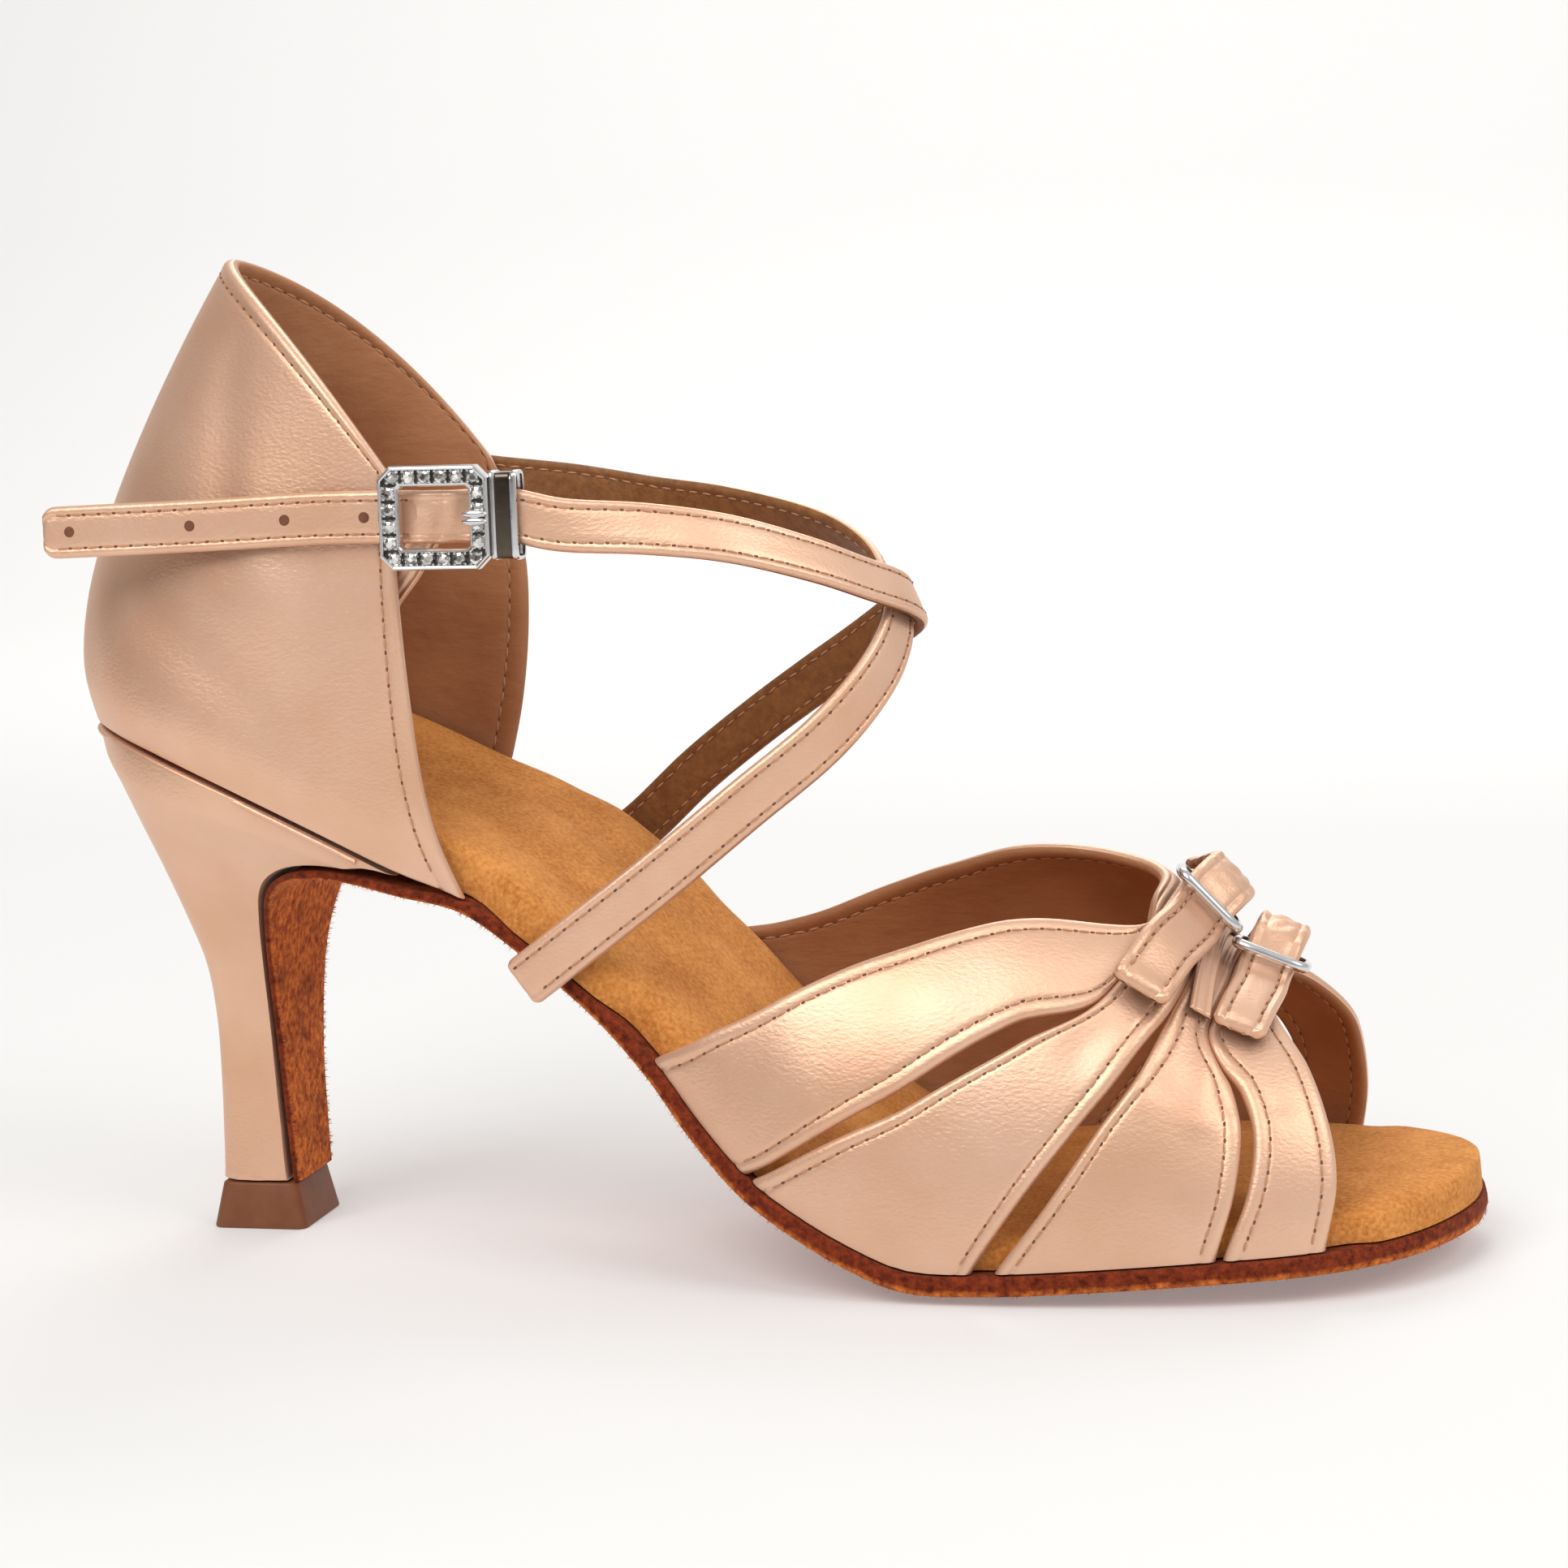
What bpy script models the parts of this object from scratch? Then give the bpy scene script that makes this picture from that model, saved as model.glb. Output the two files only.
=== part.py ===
"""Open-toe dance sandal, right foot, with a flared heel, a fan-cut vamp and crossed straps.

Metres. +X points to the toe, +Y to the inner side of the foot, +Z up. The origin is the
middle of the heel tip's ground face, and the shoe stands on that face and on the ball.
"""
import bpy
import bmesh
from math import cos, pi, sin, sqrt
from mathutils import Vector

# Sizes of the whole shoe
SOLE_LENGTH = 0.2031        # level distance from the back of the seat to the toe
SEAT_OVERHANG = 0.0227      # how far the seat reaches behind the middle of the heel tip
HEEL_HEIGHT = 0.0770        # back of the seat above the floor
BALL_WIDTH = 0.0762
WAIST_WIDTH = 0.0500
SEAT_WIDTH = 0.0530
TOE_SPRING = 0.0038         # lift of the sole's top at the toe
ARCH_LIFT = 0.0075          # how much higher the inner edge of the waist lies

# Thicknesses and clearances
GAP = 0.0003                # clearance between pieces that touch
SOLE_THICKNESS = 0.0042     # at the ball
FLAP_THICKNESS = 0.0014     # where the sole runs down the heel's front
WELT = 0.0008               # sole edge beyond the upper
INSOLE_THICKNESS = 0.0052
HEEL_CUP = 0.0042           # how much higher the insole's rim stands in the heel
INSOLE_EDGE = 0.0006        # insole edge inside the sole edge, where it is bare
TUCK_START = 0.0006         # where the insole's edge starts to draw in beside the upper
TUCK_END = 0.0022           # and where it has drawn in
COUNTER_WALL = 0.0020
VAMP_WALL = 0.0018
STRAP_THICKNESS = 0.0016

# Sizes of the single pieces
TIP_HEIGHT = 0.0069
TIP_LENGTH = 0.0148         # at the floor
TIP_WIDTH = 0.0164
TIP_TAPER = 0.0015          # how far each end of the tip leans in at its top
TIP_ROUNDING = 0.0016       # of its upright edges
COUNTER_HEIGHT = 0.0669     # at the back, above the seat
COUNTER_FRONT_HEIGHT = 0.0602
COUNTER_LEAN = 0.0230       # how far the back leans forward at its top
COUNTER_REACH = 0.0396      # front of its foot on the outer side, ahead of the heel tip
COUNTER_INNER_REACH = 0.0310    # the same on the inner side
COUNTER_RAKE = 0.0080       # how far its front edge leans back at its top
CREST_HEIGHT = 0.0575       # top of the last above the ball, at the straps' end of the throat
INSTEP_HEIGHT = 0.0830      # crossing of the straps above the sole
STRAP_WIDTH = 0.0074
TAIL_LENGTH = 0.0515        # strap beyond the ankle buckle
TAIL_DROP = 0.0014          # how much lower the tail's end hangs
BUCKLE_LENGTH = 0.0159
BUCKLE_HEIGHT = 0.0144
BUCKLE_RIM = 0.0029
BUCKLE_THICKNESS = 0.0020
BUCKLE_CORNER = 0.0022      # cut corners of its frame
KEEPER_LENGTH = 0.0040
KEEPER_HEIGHT = 0.0124
KEEPER_WALL = 0.0007
PRONG_LENGTH = 0.0034
PRONG_HEIGHT = 0.0020
PRONG_THICKNESS = 0.0009
PRONG_ROUNDING = 0.0003
STRAP_RUN_OUT = 0.00535     # straight strap beyond the keeper
TAB_WIDTH = 0.0045
TAB_LENGTH = 0.0250         # below the ankle buckle, inside the heel cup
TAB_REACH = 0.0068          # how far its upper end stands in front of the cup's corner
REAR_BAND_WIDTH = 0.0086
FRONT_BAND_WIDTH = 0.0076
CENTRE_BAND_WIDTH = 0.0034
CENTRE_BAND_THICKNESS = 0.0008
BAND_BUCKLE_WIRE = 0.0006   # radius of the small buckles' wire
BAND_BUCKLE_LENGTH = 0.0070

HALF_WIDTHS = {"ball": BALL_WIDTH / 2, "waist": WAIST_WIDTH / 2, "seat": SEAT_WIDTH / 2}

# The last's feather edge from toe to seat.
# size: which width the sides follow; along: share of the sole's length from the back;
# rise: share of the heel's height above the ball; spring: share of the toe spring;
# outer, inner: shares of that half width; lift: share of the arch lift.
FOOTPRINT = [
    # size     along   rise    spring outer   inner  lift
    ("ball",   1.000,  0.000,  1.00,  0.040,  0.040, 0.00),
    ("ball",   0.995,  0.000,  0.98, -0.170,  0.235, 0.00),
    ("ball",   0.981,  0.000,  0.92, -0.383,  0.415, 0.00),
    ("ball",   0.959,  0.000,  0.83, -0.583,  0.572, 0.00),
    ("ball",   0.927,  0.000,  0.74, -0.756,  0.714, 0.00),
    ("ball",   0.885,  0.000,  0.63, -0.882,  0.840, 0.00),
    ("ball",   0.821,  0.000,  0.47, -0.974,  0.934, 0.00),
    ("ball",   0.747,  0.000,  0.20, -1.016,  0.982, 0.00),
    ("ball",   0.683,  0.000,  0.00, -1.029,  0.971, 0.00),
    ("ball",   0.629,  0.002,  0.00, -1.026,  0.913, 0.02),
    ("ball",   0.589,  0.042,  0.00, -1.008,  0.845, 0.24),
    ("ball",   0.550,  0.098,  0.00, -0.974,  0.777, 0.50),
    ("ball",   0.516,  0.158,  0.00, -0.919,  0.724, 0.72),
    ("ball",   0.481,  0.252,  0.00, -0.848,  0.677, 0.88),
    ("ball",   0.447,  0.356,  0.00, -0.759,  0.648, 0.97),
    ("waist",  0.407,  0.460,  0.00, -1.048,  0.972, 1.00),
    ("waist",  0.358,  0.567,  0.00, -1.000,  0.976, 1.00),
    ("waist",  0.309,  0.659,  0.00, -0.992,  1.000, 0.84),
    ("seat",   0.259,  0.720,  0.00, -0.974,  0.966, 0.68),
    ("seat",   0.200,  0.803,  0.00, -1.004,  0.996, 0.42),
    ("seat",   0.141,  0.880,  0.00, -0.985,  0.985, 0.16),
    ("seat",   0.085,  0.942,  0.00, -0.880,  0.880, 0.00),
    ("seat",   0.042,  0.978,  0.00, -0.682,  0.682, 0.00),
    ("seat",   0.012,  0.996,  0.00, -0.385,  0.385, 0.00),
    ("seat",   0.000,  1.000,  0.00,  0.000,  0.000, 0.00),
]

# The heel from its wedge under the seat down to the tip. front_ and back_ places are
# shares of the sole's length and of the heel's height; half widths are shares of the seat's.
HEEL = [
    # front_along front_rise flap_half back_along back_rise block_half
    (0.260,       0.7090,    0.960,    0.002,     1.000,    0.985),
    (0.225,       0.7290,    0.930,    0.009,     0.955,    0.950),
    (0.192,       0.7340,    0.870,    0.022,     0.895,    0.880),
    (0.166,       0.7200,    0.780,    0.036,     0.815,    0.770),
    (0.149,       0.6840,    0.680,    0.051,     0.720,    0.640),
    (0.140,       0.6170,    0.550,    0.064,     0.620,    0.500),
    (0.135,       0.5250,    0.430,    0.075,     0.520,    0.380),
    (0.134,       0.4150,    0.350,    0.079,     0.415,    0.310),
    (0.1345,      0.3050,    0.300,    0.0795,    0.305,    0.280),
    (0.136,       0.2000,    0.278,    0.0790,    0.200,    0.272),
    (0.138,       0.0950,    0.262,    0.0780,    0.095,    0.278),
]
HEEL_ROUND = 0.55           # share of each heel section that its round back takes

# The heel cup's levels above the seat.
# back_rise, front_rise: shares of the two heights; lean, outer_rake, inner_swell: shares of
# the named leans; half: share of the seat's half width; round: share of the level that the
# round back takes; power: its fullness; bow: share of the height that the level bows up.
COUNTER = [
    # back_rise front_rise lean    outer_rake inner_swell half   round power bow
    (0.130,     0.137,    -0.070,  0.32,      0.20,       1.004, 0.52, 2.00, 0.000),
    (0.280,     0.295,    -0.020,  0.59,      0.42,       1.011, 0.56, 1.98, 0.000),
    (0.450,     0.493,     0.140,  0.76,      0.58,       1.004, 0.63, 1.92, 0.000),
    (0.640,     0.692,     0.390,  0.89,      0.62,       0.974, 0.76, 1.85, 0.010),
    (0.835,     0.866,     0.700,  0.96,      0.42,       0.943, 0.90, 1.75, 0.026),
    (1.000,     1.000,     1.000,  1.00,      0.06,       0.928, 1.00, 1.66, 0.048),
]

# Crest of the last over the forefoot: along the sole, and height as a share of the crest's.
CREST = [
    (0.400, 1.040), (0.480, 1.030), (0.560, 1.005), (0.640, 0.980), (0.700, 0.945),
    (0.742, 0.900), (0.777, 0.845), (0.801, 0.760), (0.820, 0.680), (0.835, 0.645),
    (0.850, 0.625), (0.875, 0.590), (0.900, 0.545), (0.925, 0.480), (0.950, 0.390),
]
CREST_SIDE = 0.05           # how far the crest lies to the inner side, share of the half width
GIRTH_POWER = 2.15          # fullness of the last's cross-section

# The cut edges of the vamp's four fan panels, from the outer feather edge over the crest to
# the inner one. Each row is one edge, each pair a place along the sole and round the girth.
FAN = [
    # edge, then the pairs
    ("panel 1 rear",  [(0.444, 0.00), (0.497, 0.115), (0.580, 0.225), (0.680, 0.305),
                       (0.772, 0.352), (0.780, 0.44), (0.774, 0.535), (0.728, 0.600),
                       (0.645, 0.665), (0.565, 0.770), (0.491, 0.890), (0.434, 1.00)]),
    ("panel 1 front", [(0.514, 0.00), (0.575, 0.080), (0.634, 0.142), (0.698, 0.200),
                       (0.757, 0.247), (0.789, 0.40), (0.789, 0.600), (0.757, 0.753),
                       (0.698, 0.800), (0.634, 0.858), (0.575, 0.920), (0.514, 1.00)]),
    ("panel 2 rear",  [(0.518, 0.00), (0.575, 0.070), (0.636, 0.126), (0.700, 0.180),
                       (0.757, 0.247), (0.789, 0.40), (0.789, 0.600), (0.757, 0.753),
                       (0.700, 0.820), (0.636, 0.874), (0.575, 0.930), (0.518, 1.00)]),
    ("panel 2 front", [(0.671, 0.00), (0.707, 0.055), (0.742, 0.112), (0.774, 0.178),
                       (0.802, 0.277), (0.812, 0.40), (0.812, 0.600), (0.808, 0.723),
                       (0.795, 0.815), (0.772, 0.888), (0.739, 0.945), (0.700, 1.00)]),
    ("panel 3 rear",  [(0.687, 0.00), (0.720, 0.045), (0.752, 0.105), (0.783, 0.178),
                       (0.802, 0.277), (0.812, 0.40), (0.812, 0.600), (0.808, 0.723),
                       (0.800, 0.815), (0.780, 0.890), (0.751, 0.950), (0.716, 1.00)]),
    ("panel 3 front", [(0.833, 0.00), (0.845, 0.070), (0.849, 0.150), (0.842, 0.215),
                       (0.825, 0.275), (0.832, 0.40), (0.832, 0.600), (0.825, 0.725),
                       (0.842, 0.785), (0.849, 0.850), (0.845, 0.930), (0.833, 1.00)]),
    ("panel 4 rear",  [(0.838, 0.00), (0.853, 0.070), (0.857, 0.145), (0.848, 0.210),
                       (0.825, 0.275), (0.832, 0.40), (0.832, 0.600), (0.825, 0.725),
                       (0.848, 0.790), (0.857, 0.855), (0.853, 0.930), (0.838, 1.00)]),
    ("panel 4 front", [(0.904, 0.00), (0.911, 0.090), (0.906, 0.180), (0.890, 0.275),
                       (0.865, 0.360), (0.861, 0.44), (0.866, 0.540), (0.884, 0.620),
                       (0.904, 0.700), (0.910, 0.790), (0.911, 0.900), (0.904, 1.00)]),
]
FAN_COLUMNS = (4, 5, 4, 3)  # columns of faces in each panel
FAN_ROWS_PER_PAIR = 2
FAN_HUB = (4, 7)            # the pairs between which neighbouring panels are joined
VAMP_SPAN = (0.434, 0.9105) # rearmost and foremost places of the fan along the sole

# Routes of the crossed straps: along the sole, side as a share of the seat's half width,
# height above the sole as a share of the instep's.
UPPER_STRAP = [
    # along side    up
    (0.392, -0.966, 0.788), (0.449, -0.891, 0.895), (0.503, -0.774, 1.007),
    (0.553, -0.547, 1.050), (0.583, -0.321, 1.052), (0.600, -0.094, 1.042),
    (0.601,  0.120, 1.015), (0.583,  0.330, 0.953), (0.553,  0.515, 0.848),
    (0.513,  0.675, 0.698), (0.468,  0.810, 0.490), (0.417,  0.930, 0.257),
    (0.370,  1.005, 0.060), (0.330,  1.036, -0.070),
]
LOWER_STRAP = [
    # along side    up
    (0.325,  1.000, 0.612), (0.389,  0.925, 0.693), (0.453,  0.811, 0.829),
    (0.518,  0.623, 0.992), (0.562,  0.396, 1.048), (0.589,  0.170, 1.052),
    (0.602, -0.057, 1.015), (0.598, -0.245, 0.949), (0.582, -0.453, 0.859),
    (0.555, -0.649, 0.747), (0.508, -0.830, 0.576), (0.449, -0.958, 0.315),
    (0.397, -1.020, 0.108), (0.351, -1.032, -0.062),
]
STRAP_AXIS_ALONG = 0.358    # the straps face away from an upright axis at this place
STRAP_LEAN = 0.5            # how far they lean back over the instep
STRAP_LEVEL = 0.880         # level of the heel cup at which the straps leave it

# The small bands over the throat: along the sole, round the girth, and height above the
# vamp as a share of the hump that each band makes over its buckle.
REAR_BAND = [
    # along girth  hump
    (0.776, 0.250, 0.26), (0.788, 0.320, 0.26), (0.797, 0.380, 0.26), (0.800, 0.415, 0.30),
    (0.800, 0.445, 0.64), (0.801, 0.474, 0.98), (0.802, 0.512, 1.00), (0.800, 0.548, 0.70),
    (0.796, 0.585, 0.36), (0.790, 0.625, 0.26),
]
FRONT_BAND = [
    # along girth  hump
    (0.840, 0.285, 0.06), (0.845, 0.330, 0.08), (0.850, 0.380, 0.08), (0.851, 0.415, 0.10),
    (0.852, 0.445, 0.56), (0.853, 0.474, 0.98), (0.853, 0.512, 1.00), (0.851, 0.548, 0.60),
    (0.848, 0.585, 0.10), (0.843, 0.625, 0.00),
]
CENTRE_BAND = [
    # along girth  hump
    (0.815, 0.290, 0.0), (0.815, 0.350, 0.0), (0.815, 0.420, 0.0), (0.815, 0.500, 0.0),
    (0.815, 0.580, 0.0), (0.815, 0.650, 0.0), (0.815, 0.710, 0.0),
]
REAR_HUMP = 0.0050
FRONT_HUMP = 0.0036
BAND_BUCKLE_AT = 4.0        # place of each small buckle along its band, in rows
REAR_BUCKLE_RISE = 0.0038   # height of the middle of its wire above the last
FRONT_BUCKLE_RISE = 0.0027
BAND_BUCKLE_TILT = 0.25     # radians that its inner end dips under the band's hump


def spline(rows, place):
    """Smooth value through rows of numbers, read at a row place such as 2.5."""
    last_row = len(rows) - 1
    place = min(max(place, 0.0), last_row)
    first = min(int(place), last_row - 1)
    t = place - first

    def row(i):
        return rows[min(max(i, 0), last_row)]

    return [
        0.5 * (2 * b + (c - a) * t + (2 * a - 5 * b + 4 * c - d) * t * t
               + (3 * b - a - 3 * c + d) * t ** 3)
        for a, b, c, d in zip(row(first - 1), row(first), row(first + 1), row(first + 2))
    ]


def along_x(share):
    """World X of a share of the sole's length."""
    return share * SOLE_LENGTH - SEAT_OVERHANG


def footprint_rows():
    """The footprint in metres: x, z, outer side, inner side, lift of the inner edge."""
    rows = []
    for size, along, rise, spring, outer, inner, lift in FOOTPRINT:
        half = HALF_WIDTHS[size]
        z = SOLE_THICKNESS + rise * (HEEL_HEIGHT - SOLE_THICKNESS) + spring * TOE_SPRING
        rows.append((along_x(along), z, outer * half, inner * half, lift * ARCH_LIFT))
    return rows


FOOT = footprint_rows()
FOOT_END = len(FOOT) - 1


def foot_place(x):
    """Row place of the footprint at a world X."""
    low, high = 0.0, float(FOOT_END)
    for _ in range(40):
        middle = (low + high) / 2
        if spline(FOOT, middle)[0] > x:
            low = middle
        else:
            high = middle
    return low


def lift_at(x, y):
    """Height that the inner side of the waist gains at a place."""
    _, _, outer, inner, lift = spline(FOOT, foot_place(x))
    return lift * min(max((y - outer) / max(inner - outer, GAP), 0.0), 1.0)


def bed(place, across, inset=0.0):
    """Point on the last's underside; across runs from -1 (outer) to 1 (inner)."""
    x, z, outer, inner, lift = spline(FOOT, place)
    inset = min(inset, max(inner - outer, 0.0) * 0.45)
    share = (across + 1) / 2
    y = (outer + inset) * (1 - share) + (inner - inset) * share
    return Vector((x, y, z + lift * (y - outer) / max(inner - outer, GAP)))


def slope_normal(rows, place):
    """Unit normal in the XZ plane, to the left of a route that runs from toe to heel."""
    ahead = spline(rows, place + 0.05)
    behind = spline(rows, place - 0.05)
    return Vector((ahead[1] - behind[1], 0.0, behind[0] - ahead[0])).normalized()


def material(name, colour, roughness, metallic=0.0):
    """A plain Principled material."""
    made = bpy.data.materials.new(name)
    made.use_nodes = True
    shader = made.node_tree.nodes["Principled BSDF"]
    shader.inputs["Base Color"].default_value = (*colour, 1.0)
    shader.inputs["Roughness"].default_value = roughness
    shader.inputs["Metallic"].default_value = metallic
    return made


def finish(name, mesh, finish_material, collection):
    """Shade a mesh and put it in a collection as a named object."""
    mesh.shade_smooth()
    mesh.set_sharp_from_angle(angle=0.6)
    mesh.materials.append(finish_material)
    made = bpy.data.objects.new(name, mesh)
    collection.objects.link(made)
    return made


def stack(name, columns, rows, layers, finish_material, collection, keep=None):
    """Solid between layers of one grid.

    columns and rows list the grid's places. Each layer is a function of a column place
    and a row place; the first is the grid itself, and each further one is extruded from
    the one before. keep says which of the grid's faces stay, by their middle's place.
    """
    mesh_builder = bmesh.new()
    bmesh.ops.create_grid(mesh_builder, x_segments=len(columns) - 1,
                          y_segments=len(rows) - 1, size=0.5)
    column_tag = mesh_builder.verts.layers.float.new("column")
    row_tag = mesh_builder.verts.layers.float.new("row")
    for vertex in mesh_builder.verts:
        vertex[column_tag] = columns[round((vertex.co.x + 0.5) * (len(columns) - 1))]
        vertex[row_tag] = rows[round((vertex.co.y + 0.5) * (len(rows) - 1))]
    if keep:
        dropped = [face for face in mesh_builder.faces if not keep(
            sum(vertex[column_tag] for vertex in face.verts) / 4,
            sum(vertex[row_tag] for vertex in face.verts) / 4)]
        bmesh.ops.delete(mesh_builder, geom=dropped, context="FACES")
    for vertex in mesh_builder.verts:
        vertex.co = layers[0](vertex[column_tag], vertex[row_tag])
    bmesh.ops.remove_doubles(mesh_builder, verts=mesh_builder.verts, dist=1e-5)
    region = list(mesh_builder.faces)
    for count, layer in enumerate(layers[1:]):
        result = bmesh.ops.extrude_face_region(mesh_builder, geom=region, use_keep_orig=True)
        if count > 0:
            bmesh.ops.delete(mesh_builder, geom=region, context="FACES")
        region = [item for item in result["geom"] if isinstance(item, bmesh.types.BMFace)]
        for vertex in {vertex for face in region for vertex in face.verts}:
            vertex.co = layer(vertex[column_tag], vertex[row_tag])
    bmesh.ops.remove_doubles(mesh_builder, verts=mesh_builder.verts, dist=1e-5)
    bmesh.ops.dissolve_degenerate(mesh_builder, edges=mesh_builder.edges, dist=1e-6)
    bmesh.ops.recalc_face_normals(mesh_builder, faces=mesh_builder.faces)
    mesh = bpy.data.meshes.new(name)
    mesh_builder.to_mesh(mesh)
    mesh_builder.free()
    return finish(name, mesh, finish_material, collection)


def even(first, last, count):
    """Places from first to last in even steps."""
    return [first + (last - first) * i / count for i in range(count + 1)]


# Sole: suede from the toe over the waist, on down the front of the heel


FIRST_HEEL_ROW = 18         # the footprint's row at which the sole leaves the seat


def sole_rows():
    """The sole's upper face: the footprint, then the line under the seat to the tip."""
    rows = [row[:4] for row in FOOT[:FIRST_HEEL_ROW]]
    for front_along, front_rise, flap_half, *_ in HEEL:
        half = flap_half * HALF_WIDTHS["seat"]
        rows.append((along_x(front_along), front_rise * HEEL_HEIGHT, -half, half))
    rows[-1] = (rows[-1][0], TIP_HEIGHT + GAP, rows[-1][2], rows[-1][3])
    return rows


SOLE = sole_rows()
SOLE_END = len(SOLE) - 1


def seat_share(level):
    """How far a level of the heel still follows the tilt of the seat."""
    return min(max(1 - level / 4, 0.0), 1.0)


def sole_point(across, place, depth):
    """Point in the sole; depth 0 is its upper face and 1 its lower one."""
    x, z, outer, inner = spline(SOLE, place)
    share = (across + 1) / 2
    y = outer * (1 - share) + inner * share
    slim = min(max((place - 10) / 8, 0.0), 1.0)
    thickness = SOLE_THICKNESS * (1 - slim) + FLAP_THICKNESS * slim
    toe = max(1 - place / 4, 0.0)
    side = max((abs(across) - 0.5) / 0.5, 0.0)
    edge = 1 - (1 - side ** 2) * (1 - toe ** 2)
    thickness *= 1 - 0.36 * edge * (1 - 0.7 * slim)
    lower = slope_normal(SOLE, place) * -thickness * depth
    point = Vector((x, y, z + lift_at(x, y) * seat_share(place - FIRST_HEEL_ROW))) + lower
    if place < FIRST_HEEL_ROW:
        point.z = max(point.z, 0.0)
    if abs(point.z) < GAP and depth == 1:
        point.z = 0.0
    return point


# Heel: one block, from the seat down to its tip


def heel_section(level, across, along):
    """Point of a heel section; along runs from the back (0) to the front (1)."""
    front_along, front_rise, flap_half, back_along, back_rise, block_half = HEEL[level]
    seat_half = HALF_WIDTHS["seat"]
    normal = slope_normal(SOLE, FIRST_HEEL_ROW + level)
    front = Vector((along_x(front_along), 0, front_rise * HEEL_HEIGHT)) + normal * GAP * 2.5
    back = Vector((along_x(back_along), 0, back_rise * HEEL_HEIGHT))
    if level == len(HEEL) - 1:
        front.z = back.z = TIP_HEIGHT + GAP
    point = back.lerp(front, along)
    block = block_half * seat_half
    if along < HEEL_ROUND:
        squareness = 2 + 1.2 * level / (len(HEEL) - 1)
        half = block * (1 - (1 - along / HEEL_ROUND) ** squareness) ** (1 / squareness)
    else:
        blend = (along - HEEL_ROUND) / (1 - HEEL_ROUND)
        half = block * (1 - blend) + min(flap_half * seat_half, block * 1.05) * blend
    point.y = half * across
    if level == 0:
        seat = bed(foot_place(max(point.x, FOOT[-1][0] + GAP)), 0.0)
        point.z = seat.z - spline(FOOT, foot_place(point.x))[4] / 2 - GAP
    point.z += lift_at(point.x, point.y) * seat_share(level)
    return point


# Insole: a padded sock on the whole bed


def tuck(x):
    """How far the insole's edge keeps inside the sole's, where the upper stands on it."""
    behind_upper = VAMP_WALL + WELT + 2 * GAP
    steps = (
        (COUNTER_REACH + TUCK_START, 1), (COUNTER_REACH + TUCK_END, 0),
        (along_x(VAMP_SPAN[0]) - TUCK_END - 2 * TUCK_START, 0),
        (along_x(VAMP_SPAN[0]) - 2 * TUCK_START, 1),
        (along_x(VAMP_SPAN[1]) + TUCK_START, 1), (along_x(VAMP_SPAN[1]) + TUCK_END, 0),
    )
    share = 1.0
    for (start, before), (end, after) in zip(steps[::2], steps[1::2]):
        if x >= start:
            share = before + (after - before) * min((x - start) / (end - start), 1.0)
    return INSOLE_EDGE + (behind_upper - INSOLE_EDGE) * share


def insole_point(across, place, depth):
    """Point in the insole; depth 0 is its underside and 1 its padded top."""
    x = spline(FOOT, place)[0]
    ends = max(1 - place / 3, 0.0) ** 2, max(1 - (FOOT_END - place) / 3, 0.0) ** 2
    edge = 1 - (1 - abs(across) ** 4) * (1 - ends[0]) * (1 - ends[1])
    inset = tuck(x)
    shorter = Vector((inset * (ends[1] - ends[0]), 0, 0))
    pad = 0.52 + 0.48 * sqrt(max(1 - edge ** 2, 0.0))
    cup = HEEL_CUP * max(1 - abs(x / SOLE_LENGTH - 0.06) / 0.22, 0.0) * abs(across) ** 3
    height = GAP + (INSOLE_THICKNESS * pad + cup) * depth
    return bed(place, across, inset) + shorter + slope_normal(FOOT, place) * height


# Counter: the heel cup, one hollow wall


def counter_level(level, around):
    """Outer point of a level; around runs from -1 (outer front) by the back to 1."""
    along = abs(around) ** 1.5
    foot_back = bed(FOOT_END, 0.0)
    side = -1.0 if around < 0 else 1.0
    reach = COUNTER_REACH if around < 0 else COUNTER_INNER_REACH
    foot_front = bed(foot_place(reach), side)
    if level == 0:
        x = foot_back.x + (reach - foot_back.x) * along
        point = bed(foot_place(x), side, GAP)
        return point + Vector((GAP if along == 0 else 0.0, 0, GAP))
    row = COUNTER[level - 1]
    back_rise, front_rise, lean, outer_rake, inner_swell, half, rounding, power, bow = row
    back = foot_back + Vector((lean * COUNTER_LEAN, 0, back_rise * COUNTER_HEIGHT))
    swell = -outer_rake if around < 0 else inner_swell
    corner_z = bed(foot_place(COUNTER_REACH), -1.0).z + COUNTER_FRONT_HEIGHT
    front = Vector((reach + swell * COUNTER_RAKE, 0,
                    foot_front.z * (1 - front_rise) + corner_z * front_rise))
    point = back.lerp(front, along)
    bend = max(1 - along / rounding, 0.0)
    point.y = side * half * HALF_WIDTHS["seat"] * (1 - bend ** power) ** (1 / power)
    point.z += bow * COUNTER_HEIGHT * 4 * along * (1 - along)
    return point


def counter_point(around, level):
    """Outer surface of the heel cup at a level place from 0 to 6."""
    rows = [tuple(counter_level(i, around)) for i in range(len(COUNTER) + 1)]
    return Vector(spline(rows, level))


def counter_normal(around, level):
    """Outward unit normal of the heel cup."""
    step = 0.02
    side = counter_point(min(around + step, 1), level) - counter_point(max(around - step, -1), level)
    top = len(COUNTER)
    up = counter_point(around, min(level + 0.1, top)) - counter_point(around, max(level - 0.1, 0))
    normal = up.cross(side)
    normal.z *= 0.5
    return normal.normalized()


# Vamp: one hollow fan of four panels a side, joined over the throat


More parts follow.
